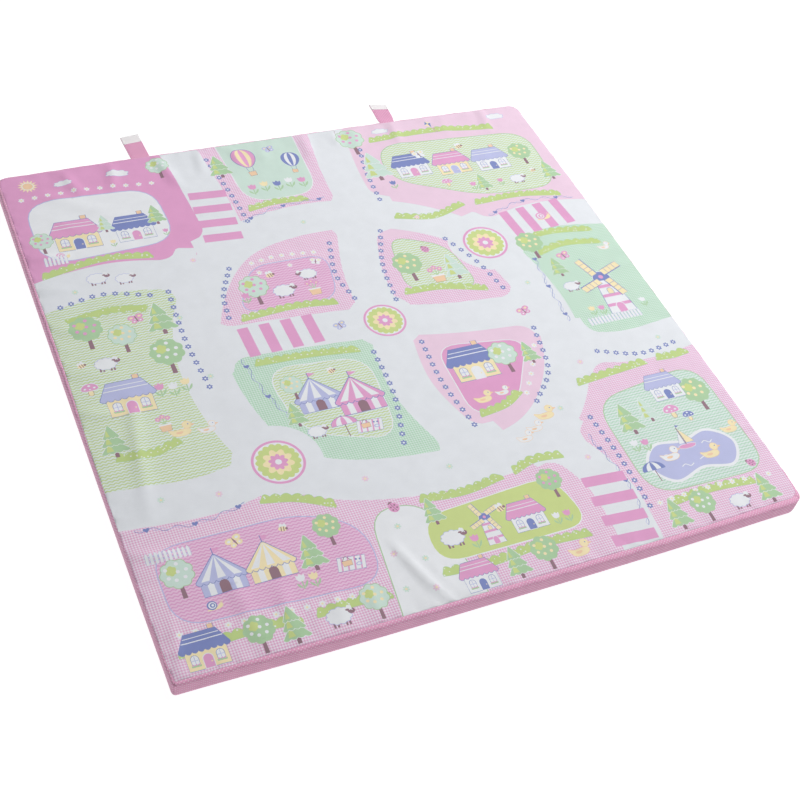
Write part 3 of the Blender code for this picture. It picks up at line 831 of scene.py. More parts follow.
HEDGES = (
    # points of the foot line in mm, top to the left of its run
    ((-208, 76), (-120, 82), (-45, 74)),
    ((72, 66), (140, 62), (214, 40)),
    ((-220, -20), (-130, -24), (-50, -34)),
    ((80, -212), (130, -204), (166, -184)),
    ((168, 452), (300, 456), (420, 440)),
    ((-480, -470), (-390, -464), (-310, -468)),
    ((-290, -468), (-230, -466), (-180, -470)),
    ((280, -452), (360, -446), (440, -452)),
    ((-100, -460), (-20, -464), (60, -458), (140, -462)),
    ((-480, 244), (-380, 262), (-300, 252)),
    ((-470, -140), (-420, -146), (-370, -132)),
    ((345, 96), (400, 108), (470, 98)),
    ((-340, 150), (-400, 160), (-470, 150)),
    ((-300, -268), (-250, -280), (-200, -306)),
    ((-80, -334), (-10, -340), (60, -330)),
    ((80, -328), (120, -316), (168, -320)),
    ((262, -196), (330, -190), (400, -184)),
    ((420, -182), (455, -184), (485, -180)),
    ((330, 134), (390, 142), (470, 132)),
    ((-110, 322), (-60, 330), (0, 326)),
    ((130, 246), (200, 230), (270, 250)),
    ((290, 246), (380, 248), (460, 234)),
)
for points in HEDGES:
    lay(hedge(bend(points, 8)))
VINES = (
    # points of the stem's middle line in mm
    ((-236, 0), (-225, -70), (-205, -130)),
    ((318, -62), (322, 20), (330, 90)),
    ((-130, 300), (-60, 322), (30, 326)),
    ((232, -470), (240, -380), (226, -290)),
    ((-480, -262), (-400, -274), (-320, -262)),
    ((300, 214), (380, 236), (480, 226)),
)
for points in VINES:
    lay(vine(bend(points, 8)))
FLOWER_ROWS = (
    # points in mm, pitch
    ((-470, 437), (-360, 440), (-250, 432), 21),
    ((-470, -436), (-330, -446), (-190, -452), 22),
    ((270, -440), (360, -436), (470, -442), 22),
    ((-40, 200), (-100, 206), (-150, 200), 20),
    ((232, -96), (206, -140), (172, -186), 20),
)
for *points, pitch in FLOWER_ROWS:
    lay(flower_row(bend(points, 8), pitch))
LANE_FLOWERS = (
    # points in mm: small blue flowers along the lanes' edges
    ((-14, 80), (-24, 140), (-6, 214)),
    ((52, 60), (62, 140), (92, 222)),
    ((242, 40), (226, 110), (196, 176)),
    ((-226, 90), (-218, 140), (-190, 196)),
    ((-30, -40), (-34, -130), (-58, -224)),
    ((54, -40), (50, -130), (62, -222)),
    ((250, -60), (230, -150), (180, -206)),
    ((-300, 170), (-306, 60), (-300, -40)),
    ((248, -260), (254, -340), (252, -440)),
    ((124, 300), (130, 380), (150, 470)),
    ((-122, 300), (-128, 380), (-140, 470)),
    ((330, -136), (400, -160), (470, -152)),
    ((-470, 178), (-400, 190), (-330, 170)),
)
for points in LANE_FLOWERS:
    lay(flower_row(bend(points, 8), 17, "sky", "white"))
CROSSINGS = (
    # x, y, length of a bar, number of bars, turn
    (-170, 335, 66, 4, 1.5),
    (395, 190, 66, 4, 0.1),
    (-150, 33, 62, 4, 0.02),
    (205, -420, 72, 4, 1.5),
)
for x, y, length, count, turn in CROSSINGS:
    lay(crossing(length, count), x, y, turn=turn)

MOTIFS = (
    # shapes, x, y, size, turn where there is one
    (cottage(), -405, 300, 1.15),
    (cottage("white", "sky", "rose"), -310, 300, 1),
    (fruit_tree(), -462, 300, 0.85),
    (fir(), -268, 330, 0.8),
    (fir("mint"), -355, 330, 0.7),
    (snail(), -440, 282, 0.7),
    (tulip("butter"), -352, 292, 0.7),
    (tulip(), -262, 298, 0.7),
    (cloud(), -300, 468, 0.85),
    (cloud(), -395, 462, 0.65),
    (sun(), -452, 470, 0.85),
    (kite(), -238, 470, 0.6, 0.4),
    (tulip(), -85, 362, 1.1),
    (tulip("butter"), -62, 366, 1.1),
    (tulip("sky"), -39, 362, 1.1),
    (tulip("white"), -16, 366, 1.1),
    (tulip(), 7, 362, 1.1),
    (balloon(), -70, 410, 1.05, 0.08),
    (balloon("sky", "white"), 5, 402, 0.8, -0.06),
    (butterfly(), -22, 475, 0.8, 0.3),
    (cottage("white", "sky", "rose"), 218, 345, 1),
    (cottage("butter", "rose", "lilac"), 296, 335, 1),
    (cottage("white", "lilac", "sky"), 374, 330, 1),
    (fruit_tree("leaf", "butter"), 440, 330, 1),
    (fir(), 330, 280, 0.75),
    (sheep(), 400, 283, 0.8),
    (tulip(), 365, 284, 0.8),
    (mushroom(), 265, 305, 0.8),
    (bee(), 440, 310, 0.6, 0.3),
    (cloud(), 200, 480, 0.7),
    (kite(), 300, 480, 0.5, 0.3),
    (cloud(), 440, 475, 0.8),
    (windmill(), 425, -66, 1.12),
    (tulip("butter"), 370, -62, 0.9),
    (tulip(), 388, -64, 0.9),
    (tulip("white"), 470, -64, 0.9),
    (sheep(), 362, 0, 0.8),
    (duck("white"), 470, 82, 0.7),
    (fir(), 360, 40, 0.8),
    (sheep(), -120, 110, 1),
    (sheep(), -68, 140, -0.85),
    (fruit_tree(), -165, 105, 1.1),
    (daisy(), -145, 175, 0.8),
    (daisy(), -90, 180, 0.7, 0.2),
    (butterfly("white"), -45, 178, 0.7, -0.3),
    (fruit_tree("leaf", "butter"), 105, 92, 1.15),
    (flower_pot(), 145, 80, 1.1),
    (fir("mint"), 180, 80, 1.05),
    (ladybird(), 150, 160, 0.8, 0.5),
    (tent(), -150, -130, 1.2),
    (tent("rose"), -88, -150, 1.3),
    (fruit_tree("mint", "butter"), -180, -100, 0.8),
    (parasol(), -130, -190, 0.8),
    (blanket(), -95, -178, 0.9),
    (bee(), -110, -60, 0.7, 0.3),
    (cottage("butter", "sky", "white"), 115, -138, 1.15),
    (fruit_tree("mint", "white"), 172, -140, 1.1),
    (fir("leaf"), 215, -130, 0.8),
    (duck(), 100, -186, 0.9),
    (duck("white"), 135, -180, 0.7),
    (pond(), 370, -375, 1.25),
    (duck("white"), 335, -375, 1),
    (duck(), 402, -388, 1),
    (boat(), 372, -360, 0.95),
    (fir(), 305, -310, 1.05),
    (fir("mint"), 345, -295, 0.85),
    (mushroom(), 385, -300, 1.1),
    (mushroom("sky"), 408, -312, 0.8),
    (fruit_tree("leaf", "butter"), 447, -300, 1.15),
    (parasol("sky"), 295, -405, 0.75),
    (ladybird(), 455, -415, 0.8, 0.9),
    (fruit_tree("mint", "white"), -445, -385, 1.05),
    (tent("lilac"), -390, -392, 1.15),
    (tent("butter", "white"), -320, -392, 1.15),
    (fir(), -262, -395, 1),
    (blanket(), -215, -400, 0.9),
    (butterfly("butter", "white"), -355, -318, 0.9, 0.4),
    (bee(), -285, -318, 0.7, -0.2),
    (snail("sky"), -415, -414, 0.7),
    (sheep(), -60, -420, 1),
    (windmill(), 0, -432, 0.62),
    (cottage("white", "rose", "sky"), 62, -425, 0.85),
    (tulip("white"), 104, -430, 0.9),
    (tulip(), 122, -430, 0.9),
    (fruit_tree("leaf"), -445, 80, 1.15),
    (fruit_tree("mint", "butter"), -395, 60, 1),
    (sheep(), -435, 30, 0.95),
    (cottage("butter", "lilac", "rose"), -420, -60, 1.1),
    (fir(), -465, -130, 1),
    (flower_pot(), -385, -105, 0.9),
    (bee(), -470, 50, 0.7, 0.3),
    (daisy("mint"), -292, -20, 0.8),
    (daisy("mint"), -300, 110, 0.8, 0.2),
    (daisy("blush"), -240, 230, 0.8, 0.2),
    (daisy("mint"), -30, 275, 0.8, 0.1),
    (daisy("blush"), 170, 240, 0.8, 0.1),
    (daisy("mint"), 290, 40, 0.8, 0.1),
    (daisy("blush"), 290, -150, 0.8, 0.1),
    (daisy("mint"), 210, -230, 0.8, 0.1),
    (daisy("mint"), -10, -285, 0.8, 0.1),
    (daisy("blush"), -140, -270, 0.8, 0.1),
    (daisy("mint"), -128, -362, 0.8, 0.1),
    (daisy("blush"), -152, -404, 0.8, 0.3),
    (daisy("mint"), -112, -424, 0.8, 0.2),
    (daisy("blush"), -118, -474, 0.8, 0.1),
    (daisy("mint"), -158, -462, 0.8),
    (daisy("mint"), -430, -222, 0.8, 0.1),
    (daisy("blush"), -350, -235, 0.8, 0.1),
    (daisy("mint"), -440, 205, 0.8, 0.1),
    (daisy("mint"), 450, -135, 0.8, 0.1),
    (daisy("blush"), 205, -330, 0.8, 0.1),
    (fir(), -330, 85, 1.15),
    (fruit_tree("leaf", "white"), -340, 0, 1.2),
    (tulip(), -372, -40, 1.1),
    (tulip("white"), -352, -44, 1.1),
    (tulip("butter"), -332, -40, 1.1),
    (duck(), -366, -120, 1),
    (duck("white"), -328, -124, 0.8),
    (butterfly("rose"), -365, 125, 0.9, 0.2),
    (mushroom(), -470, -10, 1),
    (fir("mint"), 150, 350, 1.3),
    (fruit_tree(), 135, 425, 1.2),
    (tulip("sky"), 165, 320, 0.9),
    (butterfly("white"), 245, 400, 0.9, 0.2),
    (bee(), 330, 405, 0.8, 0.3),
    (tulip(), 310, 284, 0.9),
    (fir(), 470, 280, 0.9),
    (fir(), -125, 420, 1),
    (fruit_tree("mint", "white"), -228, 440, 0.9),
    (tulip(), -185, 112, 1),
    (flower_pot(), -70, 104, 1),
    (bee(), -130, 165, 0.8, 0.2),
    (fir(), -195, -150, 0.8),
    (sheep(), -175, -180, 0.8),
    (fruit_tree("leaf", "butter"), 340, 90, 1.1),
    (butterfly("rose"), 385, 85, 0.9, 0.3),
    (cottage("white", "lilac", "sky"), 400, -262, 0.9),
    (tulip("white"), 290, -345, 1),
    (tulip(), 308, -348, 1),
    (duck(), 460, -352, 0.9),
    (fruit_tree("leaf", "butter"), -225, -365, 0.9),
    (tulip("white"), -290, -420, 1),
    (tulip("butter"), -272, -422, 1),
    (fir(), -70, -375, 0.8),
    (bee(), 30, -378, 0.8, 0.3),
    (tulip(), -30, -432, 1),
    (fruit_tree("leaf"), 125, -385, 0.9),
    (cottage("butter", "sky", "rose"), -445, -492, 0.9),
    (fruit_tree("leaf", "white"), -370, -496, 0.95),
    (fir(), -325, -494, 0.95),
    (sheep(), -262, -490, 1),
    (fruit_tree("mint", "butter"), -205, -496, 0.95),
    (cottage("white", "rose", "sky"), -50, -496, 0.8),
    (fir(), 10, -494, 0.9),
    (fruit_tree("leaf", "butter"), 60, -496, 0.95),
    (duck(), 110, -488, 1),
    (fir("leaf"), 285, -492, 0.95),
    (fruit_tree("leaf", "white"), 335, -494, 0.95),
    (sheep(), 395, -488, 0.95),
    (fir(), 450, -490, 0.95),
    (sheep(), -400, 212, 0.9),
    (sheep(), -358, 204, 0.8),
    (duck(), 180, -244, 1),
    (duck("white"), 152, -262, 0.8),
    (duck("white"), 128, -276, 0.8),
    (kite("rose", "white"), 108, 515, 0.6, 0.3),
    (snail(), 395, 180, 0.9),
    (ladybird(), -120, -330, 0.9, 0.4),
    (butterfly("rose"), 252, -20, 0.9, 0.3),
    (butterfly("lilac"), -60, 28, 0.8, 0.3),
)
for shapes, *place in MOTIFS:
    lay(shapes, *place)

FENCES = (
    # x, y, number of pales
    (-470, 272, 6),
    (350, -82, 16),
    (-480, -322, 10),
)
for x, y, count in FENCES:
    lay(fence(count), x, y, 0.8)

# The cloth's mesh: every printed outline is cut into it, so the picture's edges stay sharp, and
# a square net of points and rings beside the seam carry the folds.
NET = 0.0063
UNDERSIDE_NET = 0.009
NET_MARGIN = 0.008               # from the seam to the first point of the net
EDGE_RINGS = (0.0007, 0.0015, 0.0026, 0.0042, 0.0064)
RING_POINTS = 250                # along each side
JOIN_LIMIT = 1e-6                # points closer than this are one


def net_points(pitch):
    """A square net of points inside the sewn edge, each row shifted half a pitch."""
    across = np.arange(-HALF_WIDTH, HALF_WIDTH, pitch)
    along = np.arange(-HALF_DEPTH, HALF_DEPTH, pitch)
    x, y = np.meshgrid(across, along)
    x = x + (np.arange(len(along)) % 2)[:, None] * pitch / 2.0
    x, y = x.ravel(), y.ravel()
    inside = seam_distance(x, y) > NET_MARGIN
    return np.stack([x[inside], y[inside]], axis=1)


def cut_cloth(outlines, points):
    """Triangles over the first outline, with every outline as a line of the mesh: a constrained
    triangulation. Gives the points, the triangles and the number of the top outline over each."""
    counts = [len(line) for line in outlines]
    starts = np.cumsum([0] + counts)
    faces = [list(range(start, start + count)) for start, count in zip(starts, counts)]
    flat = np.concatenate(list(outlines) + [points])
    spots, _, triangles, _, _, over = geometry.delaunay_2d_cdt(flat.tolist(), [], faces, 1, JOIN_LIMIT, True)
    spots = np.array(spots)
    triangles = np.array(triangles)
    inside = np.array([0 in ids for ids in over])
    top = np.array([max(ids) if ids else 0 for ids in over])[inside]
    return spots, triangles[inside], top


def sealed_sheet(spots, triangles, under_spots, under_triangles, edge, thickness, height):
    """One closed sheet: the face on top, a plainer copy below it, and a rim between the two
    along the shared edge, whose points come first in both."""
    top = np.column_stack([spots, height(spots[:, 0], spots[:, 1])])
    low = np.column_stack([under_spots, height(under_spots[:, 0], under_spots[:, 1]) - thickness])
    start = np.arange(edge)
    after = np.roll(start, -1)
    shift = len(top)
    rim = np.concatenate([np.stack([start, start + shift, after + shift], axis=1),
                          np.stack([start, after + shift, after], axis=1)])
    return (np.concatenate([top, low]),
            np.concatenate([triangles, under_triangles[:, ::-1] + shift, rim]))


def mesh_from(name, points, faces, smooth=True):
    """A mesh object at the origin from arrays of points and of equal-sided faces, without the
    points that no face uses."""
    mesh = bpy.data.meshes.new(name)
    sides = faces.shape[1]
    used, faces = np.unique(faces, return_inverse=True)
    points = points[used]
    mesh.vertices.add(len(points))
    mesh.vertices.foreach_set("co", np.asarray(points, np.float32).ravel())
    mesh.loops.add(faces.size)
    mesh.loops.foreach_set("vertex_index", faces.astype(np.int32).ravel())
    mesh.polygons.add(faces.size // sides)
    mesh.polygons.foreach_set("loop_start", np.arange(0, faces.size, sides, dtype=np.int32))
    mesh.update(calc_edges=True)
    mesh.validate()
    if smooth:
        mesh.shade_smooth()
    piece = bpy.data.objects.new(name, mesh)
    bpy.context.scene.collection.objects.link(piece)
    return piece


rings = [seam_loop(extra, RING_POINTS) for extra in EDGE_RINGS]
outlines = [line for _, line in printed]
spots, triangles, top_outline = cut_cloth(outlines, np.concatenate(rings + [net_points(NET)]))
under_net = np.concatenate(rings[1::2] + [net_points(UNDERSIDE_NET)])
under_spots, under_triangles, _ = cut_cloth([town], under_net)
points, faces = sealed_sheet(spots, triangles, under_spots, under_triangles, len(town),
                             PRINT_THICKNESS, print_face)
print_cloth = mesh_from("printed_top", points, faces)
ink_number = np.array([number for number, _ in printed])[top_outline]
ink_number = np.concatenate([ink_number, np.zeros(len(faces) - len(ink_number), int)])
FIGURES = ("gingham", "waves", "specks")


def linear(colour):
    """A photographed colour of 0 to 255 as linear light: the standard screen curve undone."""
    share = np.asarray(colour, float) / 255.0
    return tuple(np.where(share > 0.04045, ((share + 0.055) / 1.055) ** 2.4, share / 12.92))


grounds = np.array([(*linear(INKS[name][0]), 1.0) for name in INK_NAMES])
figures = np.array([(*linear(INKS[name][1] or INKS[name][0]), 1.0) for name in INK_NAMES])
kinds = np.array([[float(INKS[name][2] == figure) for figure in FIGURES] + [1.0] for name in INK_NAMES])
for name, table in (("ground", grounds), ("figure", figures), ("kind", kinds)):
    colours = print_cloth.data.color_attributes.new(name, "FLOAT_COLOR", "CORNER")
    colours.data.foreach_set("color", np.repeat(table[ink_number], 3, axis=0).astype(np.float32).ravel())


def cloth_material(name, roughness, sheen):
    """A new material with a matt Principled shader; gives its node tree and shader."""
    material = bpy.data.materials.new(name)
    material.use_nodes = True
    shader = material.node_tree.nodes["Principled BSDF"]
    shader.inputs["Roughness"].default_value = roughness
    shader.inputs["Sheen Weight"].default_value = sheen
    shader.inputs["Sheen Roughness"].default_value = 0.5
    shader.inputs["Specular IOR Level"].default_value = 0.25
    return material, material.node_tree, shader


def feed(tree, socket, value):
    """Join a socket to another node's output, or set it to a number."""
    if isinstance(value, (int, float)):
        socket.default_value = value
    else:
        tree.links.new(value, socket)


def calc(tree, operation, *values):
    """A Math node of up to three values."""
    node = tree.nodes.new("ShaderNodeMath")
    node.operation = operation
    for socket, value in zip(node.inputs, values):
        feed(tree, socket, value)
    return node.outputs[0]


def blend_colours(tree, share, first, second):
    """A colour mix; colours are other nodes' outputs or photographed colours of 0 to 255."""
    node = tree.nodes.new("ShaderNodeMix")
    node.data_type = "RGBA"
    feed(tree, node.inputs[0], share)
    for socket, value in zip((node.inputs[6], node.inputs[7]), (first, second)):
        if isinstance(value, tuple):
            socket.default_value = (*linear(value), 1.0)
        else:
            tree.links.new(value, socket)
    return node.outputs[2]


def object_place(tree):
    """The place on the object, in metres."""
    return tree.nodes.new("ShaderNodeTexCoord").outputs["Object"]


def two_axes(tree, vector):
    """The first two axes of a vector."""
    node = tree.nodes.new("ShaderNodeSeparateXYZ")
    tree.links.new(vector, node.inputs[0])
    return node.outputs[0], node.outputs[1]


def noise(tree, place, scale, detail=2.0):
    """A Noise texture's factor."""
    node = tree.nodes.new("ShaderNodeTexNoise")
    node.inputs["Scale"].default_value = scale
    node.inputs["Detail"].default_value = detail
    tree.links.new(place, node.inputs["Vector"])
    return node.outputs["Fac"]


def weave(tree, x, y, pitch):
    """Plain weave: two crossed sines whose product rises and falls thread by thread."""
    across = calc(tree, "SINE", calc(tree, "MULTIPLY", x, 2 * math.pi / pitch))
    along = calc(tree, "SINE", calc(tree, "MULTIPLY", y, 2 * math.pi / pitch))
    return calc(tree, "MULTIPLY", across, along)


def surface_bump(tree, shader, height, distance, strength=1.0):
    """Feed a height in shares of distance to the shader's normal."""
    node = tree.nodes.new("ShaderNodeBump")
    node.inputs["Strength"].default_value = strength
    node.inputs["Distance"].default_value = distance
    tree.links.new(height, node.inputs["Height"])
    tree.links.new(node.outputs["Normal"], shader.inputs["Normal"])


THREAD_PITCH = 0.00055
GINGHAM_PITCH = 0.0039
WAVE_PITCH = 0.0052
WAVE_LENGTH = 0.0076
WAVE_SWING = 0.17                # as a share of the pitch
SPECK_PITCH = 0.0062
SPECK_RADIUS = 0.22              # as a share of the pitch

material, tree, shader = cloth_material("printed cotton", 0.82, 0.08)
place = object_place(tree)
x, y = two_axes(tree, place)


def attribute(tree, name):
    """A colour stored on the mesh."""
    node = tree.nodes.new("ShaderNodeAttribute")
    node.attribute_name = name
    return node.outputs["Color"]


def stripe(tree, value, pitch, share):
    """1 over the first share of each pitch, 0 over the rest."""
    return calc(tree, "LESS_THAN", calc(tree, "FRACT", calc(tree, "DIVIDE", value, pitch)), share)


checks = calc(tree, "MULTIPLY", calc(tree, "ADD", stripe(tree, x, GINGHAM_PITCH, 0.5),
                                     stripe(tree, y, GINGHAM_PITCH, 0.5)), 0.5)
swing = calc(tree, "MULTIPLY", calc(tree, "SINE", calc(tree, "MULTIPLY", x, 2 * math.pi / WAVE_LENGTH)),
             WAVE_SWING * WAVE_PITCH)
waves = stripe(tree, calc(tree, "ADD", y, swing), WAVE_PITCH, 0.45)
cells = tree.nodes.new("ShaderNodeTexVoronoi")
cells.inputs["Scale"].default_value = 1.0 / SPECK_PITCH
tree.links.new(place, cells.inputs["Vector"])
specks = calc(tree, "LESS_THAN", cells.outputs["Distance"], SPECK_RADIUS)
kind = tree.nodes.new("ShaderNodeSeparateColor")
tree.links.new(attribute(tree, "kind"), kind.inputs[0])
cover = calc(tree, "ADD", calc(tree, "ADD", calc(tree, "MULTIPLY", kind.outputs[0], checks),
                               calc(tree, "MULTIPLY", kind.outputs[1], waves)),
             calc(tree, "MULTIPLY", kind.outputs[2], specks))
colour = blend_colours(tree, cover, attribute(tree, "ground"), attribute(tree, "figure"))
threads = weave(tree, x, y, THREAD_PITCH)
dye = calc(tree, "MULTIPLY_ADD", noise(tree, place, 45.0, 3.0), 0.10, -0.05)
tone = calc(tree, "ADD", calc(tree, "MULTIPLY", threads, 0.035), dye)
shade = tree.nodes.new("ShaderNodeHueSaturation")
tree.links.new(colour, shade.inputs["Color"])
tree.links.new(calc(tree, "ADD", tone, 1.0), shade.inputs["Value"])
tree.links.new(shade.outputs["Color"], shader.inputs["Base Color"])
slubs = noise(tree, place, 900.0, 2.0)
surface_bump(tree, shader, calc(tree, "MULTIPLY_ADD", threads, 0.5, slubs), 0.00012, 0.6)
print_cloth.data.materials.append(material)

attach(print_cloth, "root")
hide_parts("top_panel")


# The boxing: four strips of pink pin-dot cotton round the walls, joined at the corners and sewn
# to the print above and to the base below. Their upper edge is drawn in over the foam's edge.
WALL_PROFILE = (
    # inset, share of seam inset, height
    (0.0035, 0.00, 0.0005),
    (0.0014, 0.00, 0.0018),
    (0.0003, 0.00, 0.0055),
    (0.0000, 0.00, 0.0145),
    (0.0000, 0.00, 0.0255),
    (0.0004, 0.08, 0.0279),
    (0.0000, 0.42, 0.0294),
    (0.0000, 1.00, 0.0302),
)
BOXING_THICKNESS = 0.0009
BOXING_ALONG = 321               # points of each strip's grid
BOXING_UP = 25
BOXING_REACH = 0.99985           # share of its side that a strip covers, so that no two touch
BOXING_THINNED = 0.8             # share of the thickness that is given up towards the seam
DENTS = (
    # depth, pitch along the wall, wander, rate of the wander
    (0.00035, 0.061, 1.4, 17),
    (0.00022, 0.023, 2.0, 29),
)
SEAM_CREASE = 0.00012
SEAM_CREASE_PITCH = 0.0128
DOT_PITCH = 0.0056
DOT_RADIUS = 0.17                # as a share of the pitch
PIN_DOT_PINK = (234, 167, 202)
PIN_DOT_WHITE = (247, 217, 231)


def smooth_rows(table, count):
    """A table's columns read at count even steps along smooth cubic pieces through its rows, each
    kept between the two rows it joins."""
    rows = np.asarray(table, float)
    step = np.linspace(0, len(rows) - 1, count)
    base = np.clip(step.astype(int), 0, len(rows) - 2)
    t = (step - base)[:, None]
    before, after = rows[np.maximum(base - 1, 0)], rows[np.minimum(base + 2, len(rows) - 1)]
    first, second = rows[base], rows[base + 1]
    smooth = 0.5 * (2 * first + (second - before) * t
                    + (2 * before - 5 * first + 4 * second - after) * t ** 2
                    + (3 * first - before - 3 * second + after) * t ** 3)
    return np.clip(smooth, np.minimum(first, second), np.maximum(first, second))


def boxing_face(side, share, profile):
    """The outer face of one wall: the wall's plan at each row of the profile, drawn down at the
    seam, with slow dents and short creases square to the seam."""
    seam = seam_inset(side, share)[:, None]
    inset = profile[:, 0] + profile[:, 1] * seam
    height = np.broadcast_to(profile[:, 2], inset.shape).copy()
    run = share[:, None] * 0.5
    drawn = profile[:, 1] ** 3
    mark = side[1] * 2.3
    upper = np.clip((profile[:, 2] - 0.004) / 0.02, 0, 1) * (1 - drawn)
    dents = sum(depth * np.sin(2 * math.pi * run / pitch + wander * np.sin(slow * run + mark))
                for depth, pitch, wander, slow in DENTS)
    creases = SEAM_CREASE * np.sin(2 * math.pi * run / SEAM_CREASE_PITCH + mark)
    inset = inset + dents * upper + creases * drawn
    height = height - SEAM_DIP * np.exp(-(1 - profile[:, 1]) * seam / SEAM_ROLL) * profile[:, 1] ** 2
    x, y = wall_line(side, share[:, None], inset)
    return np.stack([x, y, height], axis=2)


def thick_grid(name, face, thickness):
    """A closed sheet from a grid of points: the face, the same grid moved in along its own
    normals by thickness (one number, or one for each column), and a rim round the four edges.
    Also writes a map in metres."""
    along = np.gradient(face, axis=0)
    up = np.gradient(face, axis=1)
    normal = np.cross(along, up)
    normal /= np.linalg.norm(normal, axis=2)[:, :, None]
    rows, columns = face.shape[:2]
    back = face - normal * np.reshape(thickness, (1, -1, 1))
    number = np.arange(rows * columns).reshape(rows, columns)
    lower = number + rows * columns

    def cells(table):
        return np.stack([table[:-1, :-1], table[1:, :-1], table[1:, 1:], table[:-1, 1:]],
                        axis=2).reshape(-1, 4)

    border = np.concatenate([number[:-1, 0], number[-1, :-1], number[:0:-1, -1], number[0, :0:-1]])
    after = np.roll(border, -1)
    shift = rows * columns
    rim = np.stack([border, border + shift, after + shift, after], axis=1)
    faces = np.concatenate([cells(number), cells(lower)[:, ::-1], rim])
    piece = mesh_from(name, np.concatenate([face.reshape(-1, 3), back.reshape(-1, 3)]), faces)
    far = np.cumsum(np.linalg.norm(np.diff(face, axis=0, prepend=face[:1]), axis=2), axis=0)
    high = np.cumsum(np.linalg.norm(np.diff(face, axis=1, prepend=face[:, :1]), axis=2), axis=1)
    lengths = np.stack([far[:, columns // 2][:, None] + 0.0 * far, high], axis=2).reshape(-1, 2)
    lengths = np.concatenate([lengths, lengths])
    layer = piece.data.uv_layers.new(name="cloth run")
    order = np.zeros(len(piece.data.loops), np.int32)
    piece.data.loops.foreach_get("vertex_index", order)
    layer.data.foreach_set("uv", lengths[order].astype(np.float32).ravel())
    return piece


def pin_dot_cloth(name, pink, pale):
    """Pink cotton with a staggered grid of small pale dots, woven, with a little dye drift."""
    material, tree, shader = cloth_material(name, 0.80, 0.10)
    layer = tree.nodes.new("ShaderNodeUVMap")
    layer.uv_map = "cloth run"
    u, v = two_axes(tree, layer.outputs[0])
    spots = []
    for shift in (0.0, 0.5):
        across = calc(tree, "ADD", calc(tree, "DIVIDE", u, DOT_PITCH), shift)
        along = calc(tree, "ADD", calc(tree, "DIVIDE", v, DOT_PITCH), shift)
        off = [calc(tree, "SUBTRACT", calc(tree, "FRACT", value), 0.5) for value in (across, along)]
        reach = calc(tree, "SQRT", calc(tree, "ADD", calc(tree, "MULTIPLY", off[0], off[0]),
                                        calc(tree, "MULTIPLY", off[1], off[1])))
        soft = calc(tree, "DIVIDE", calc(tree, "SUBTRACT", DOT_RADIUS + 0.02, reach), 0.04)
        spots.append(calc(tree, "MINIMUM", calc(tree, "MAXIMUM", soft, 0.0), 1.0))
    dots = calc(tree, "MAXIMUM", *spots)
    colour = blend_colours(tree, dots, pink, pale)
    threads = weave(tree, u, v, THREAD_PITCH)
    place = object_place(tree)
    dye = calc(tree, "MULTIPLY_ADD", noise(tree, place, 60.0, 3.0), 0.12, -0.06)
    shade = tree.nodes.new("ShaderNodeHueSaturation")
    tree.links.new(colour, shade.inputs["Color"])
    tree.links.new(calc(tree, "ADD", calc(tree, "MULTIPLY_ADD", threads, 0.05, dye), 1.0),
                   shade.inputs["Value"])
    tree.links.new(shade.outputs["Color"], shader.inputs["Base Color"])
    slubs = noise(tree, place, 800.0, 2.0)
    surface_bump(tree, shader, calc(tree, "MULTIPLY_ADD", threads, 0.5, slubs), 0.00014, 0.6)
    return material


pin_dots = pin_dot_cloth("pin dot cotton", PIN_DOT_PINK, PIN_DOT_WHITE)
profile = smooth_rows(WALL_PROFILE, BOXING_UP)
for side in SIDES:
    share = np.linspace(-1.0, 1.0, BOXING_ALONG) * BOXING_REACH
    strip = thick_grid(f"boxing_{side[0]}_cloth", boxing_face(side, share, profile),
                       BOXING_THICKNESS * (1.0 - BOXING_THINNED * profile[:, 1] ** 0.5))
    strip.data.materials.append(pin_dots)
    length = 2 * side_out(side[1] + 1)
    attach(strip, "root")
    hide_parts(f"boxing_{side[0]}")


# The base: one square of plain white cotton that closes the cover under the foam. It is sewn
# all round to the boxing's lower edge and lies flat on the floor.
BASE_INSET = 0.0040
BASE_THICKNESS = 0.0009
BASE_POINTS = 90                 # along each side
BASE_NET = 0.035
BASE_COLOURS = ((222, 222, 222), (236, 235, 233))


def base_loop():
    """The base's edge: the walls' plan moved in by one distance all round."""
    share = np.linspace(-1.0, 1.0, BASE_POINTS, endpoint=False)
    return np.concatenate([np.stack(wall_line(side, share, BASE_INSET), axis=1) for side in SIDES])


def base_top(x, y):
    """The base's upper side is level: it is pressed flat between the foam and the floor."""
    return np.full(len(x), BASE_THICKNESS)


base_edge = base_loop()
spots, triangles, _ = cut_cloth([base_edge], net_points(BASE_NET))
points, faces = sealed_sheet(spots, triangles, spots, triangles, len(base_edge), BASE_THICKNESS, base_top)
base_cloth = mesh_from("base_cloth", points, faces, smooth=False)
material, tree, shader = cloth_material("base cotton", 0.88, 0.05)
place = object_place(tree)
threads = weave(tree, *two_axes(tree, place), THREAD_PITCH)
colour = blend_colours(tree, noise(tree, place, 30.0, 3.0), *BASE_COLOURS)
tree.links.new(colour, shader.inputs["Base Color"])
surface_bump(tree, shader, threads, 0.0001, 0.6)
base_cloth.data.materials.append(material)
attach(base_cloth, "root")
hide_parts("base_panel")


# The pad: one square of soft open-celled foam, about 30 mm thick, which fills the cover. It is
# cut from a sheet and has a low crown and eased edges. Nothing but the cover holds it.
FOAM_AROUND = 90                 # points along each side
FOAM_ROWS = 15
FOAM_RINGS = (0.985, 0.95, 0.85, 0.60, 0.30, 0.02)
FOAM_CLEARANCE = 0.0006
FOAM_TOP_CLEARANCE = 0.0014      # the print's small hollows reach this far down
FOAM_PORES = 1100.0              # to the metre
FOAM_COLOURS = ((238, 232, 210), (226, 218, 190))


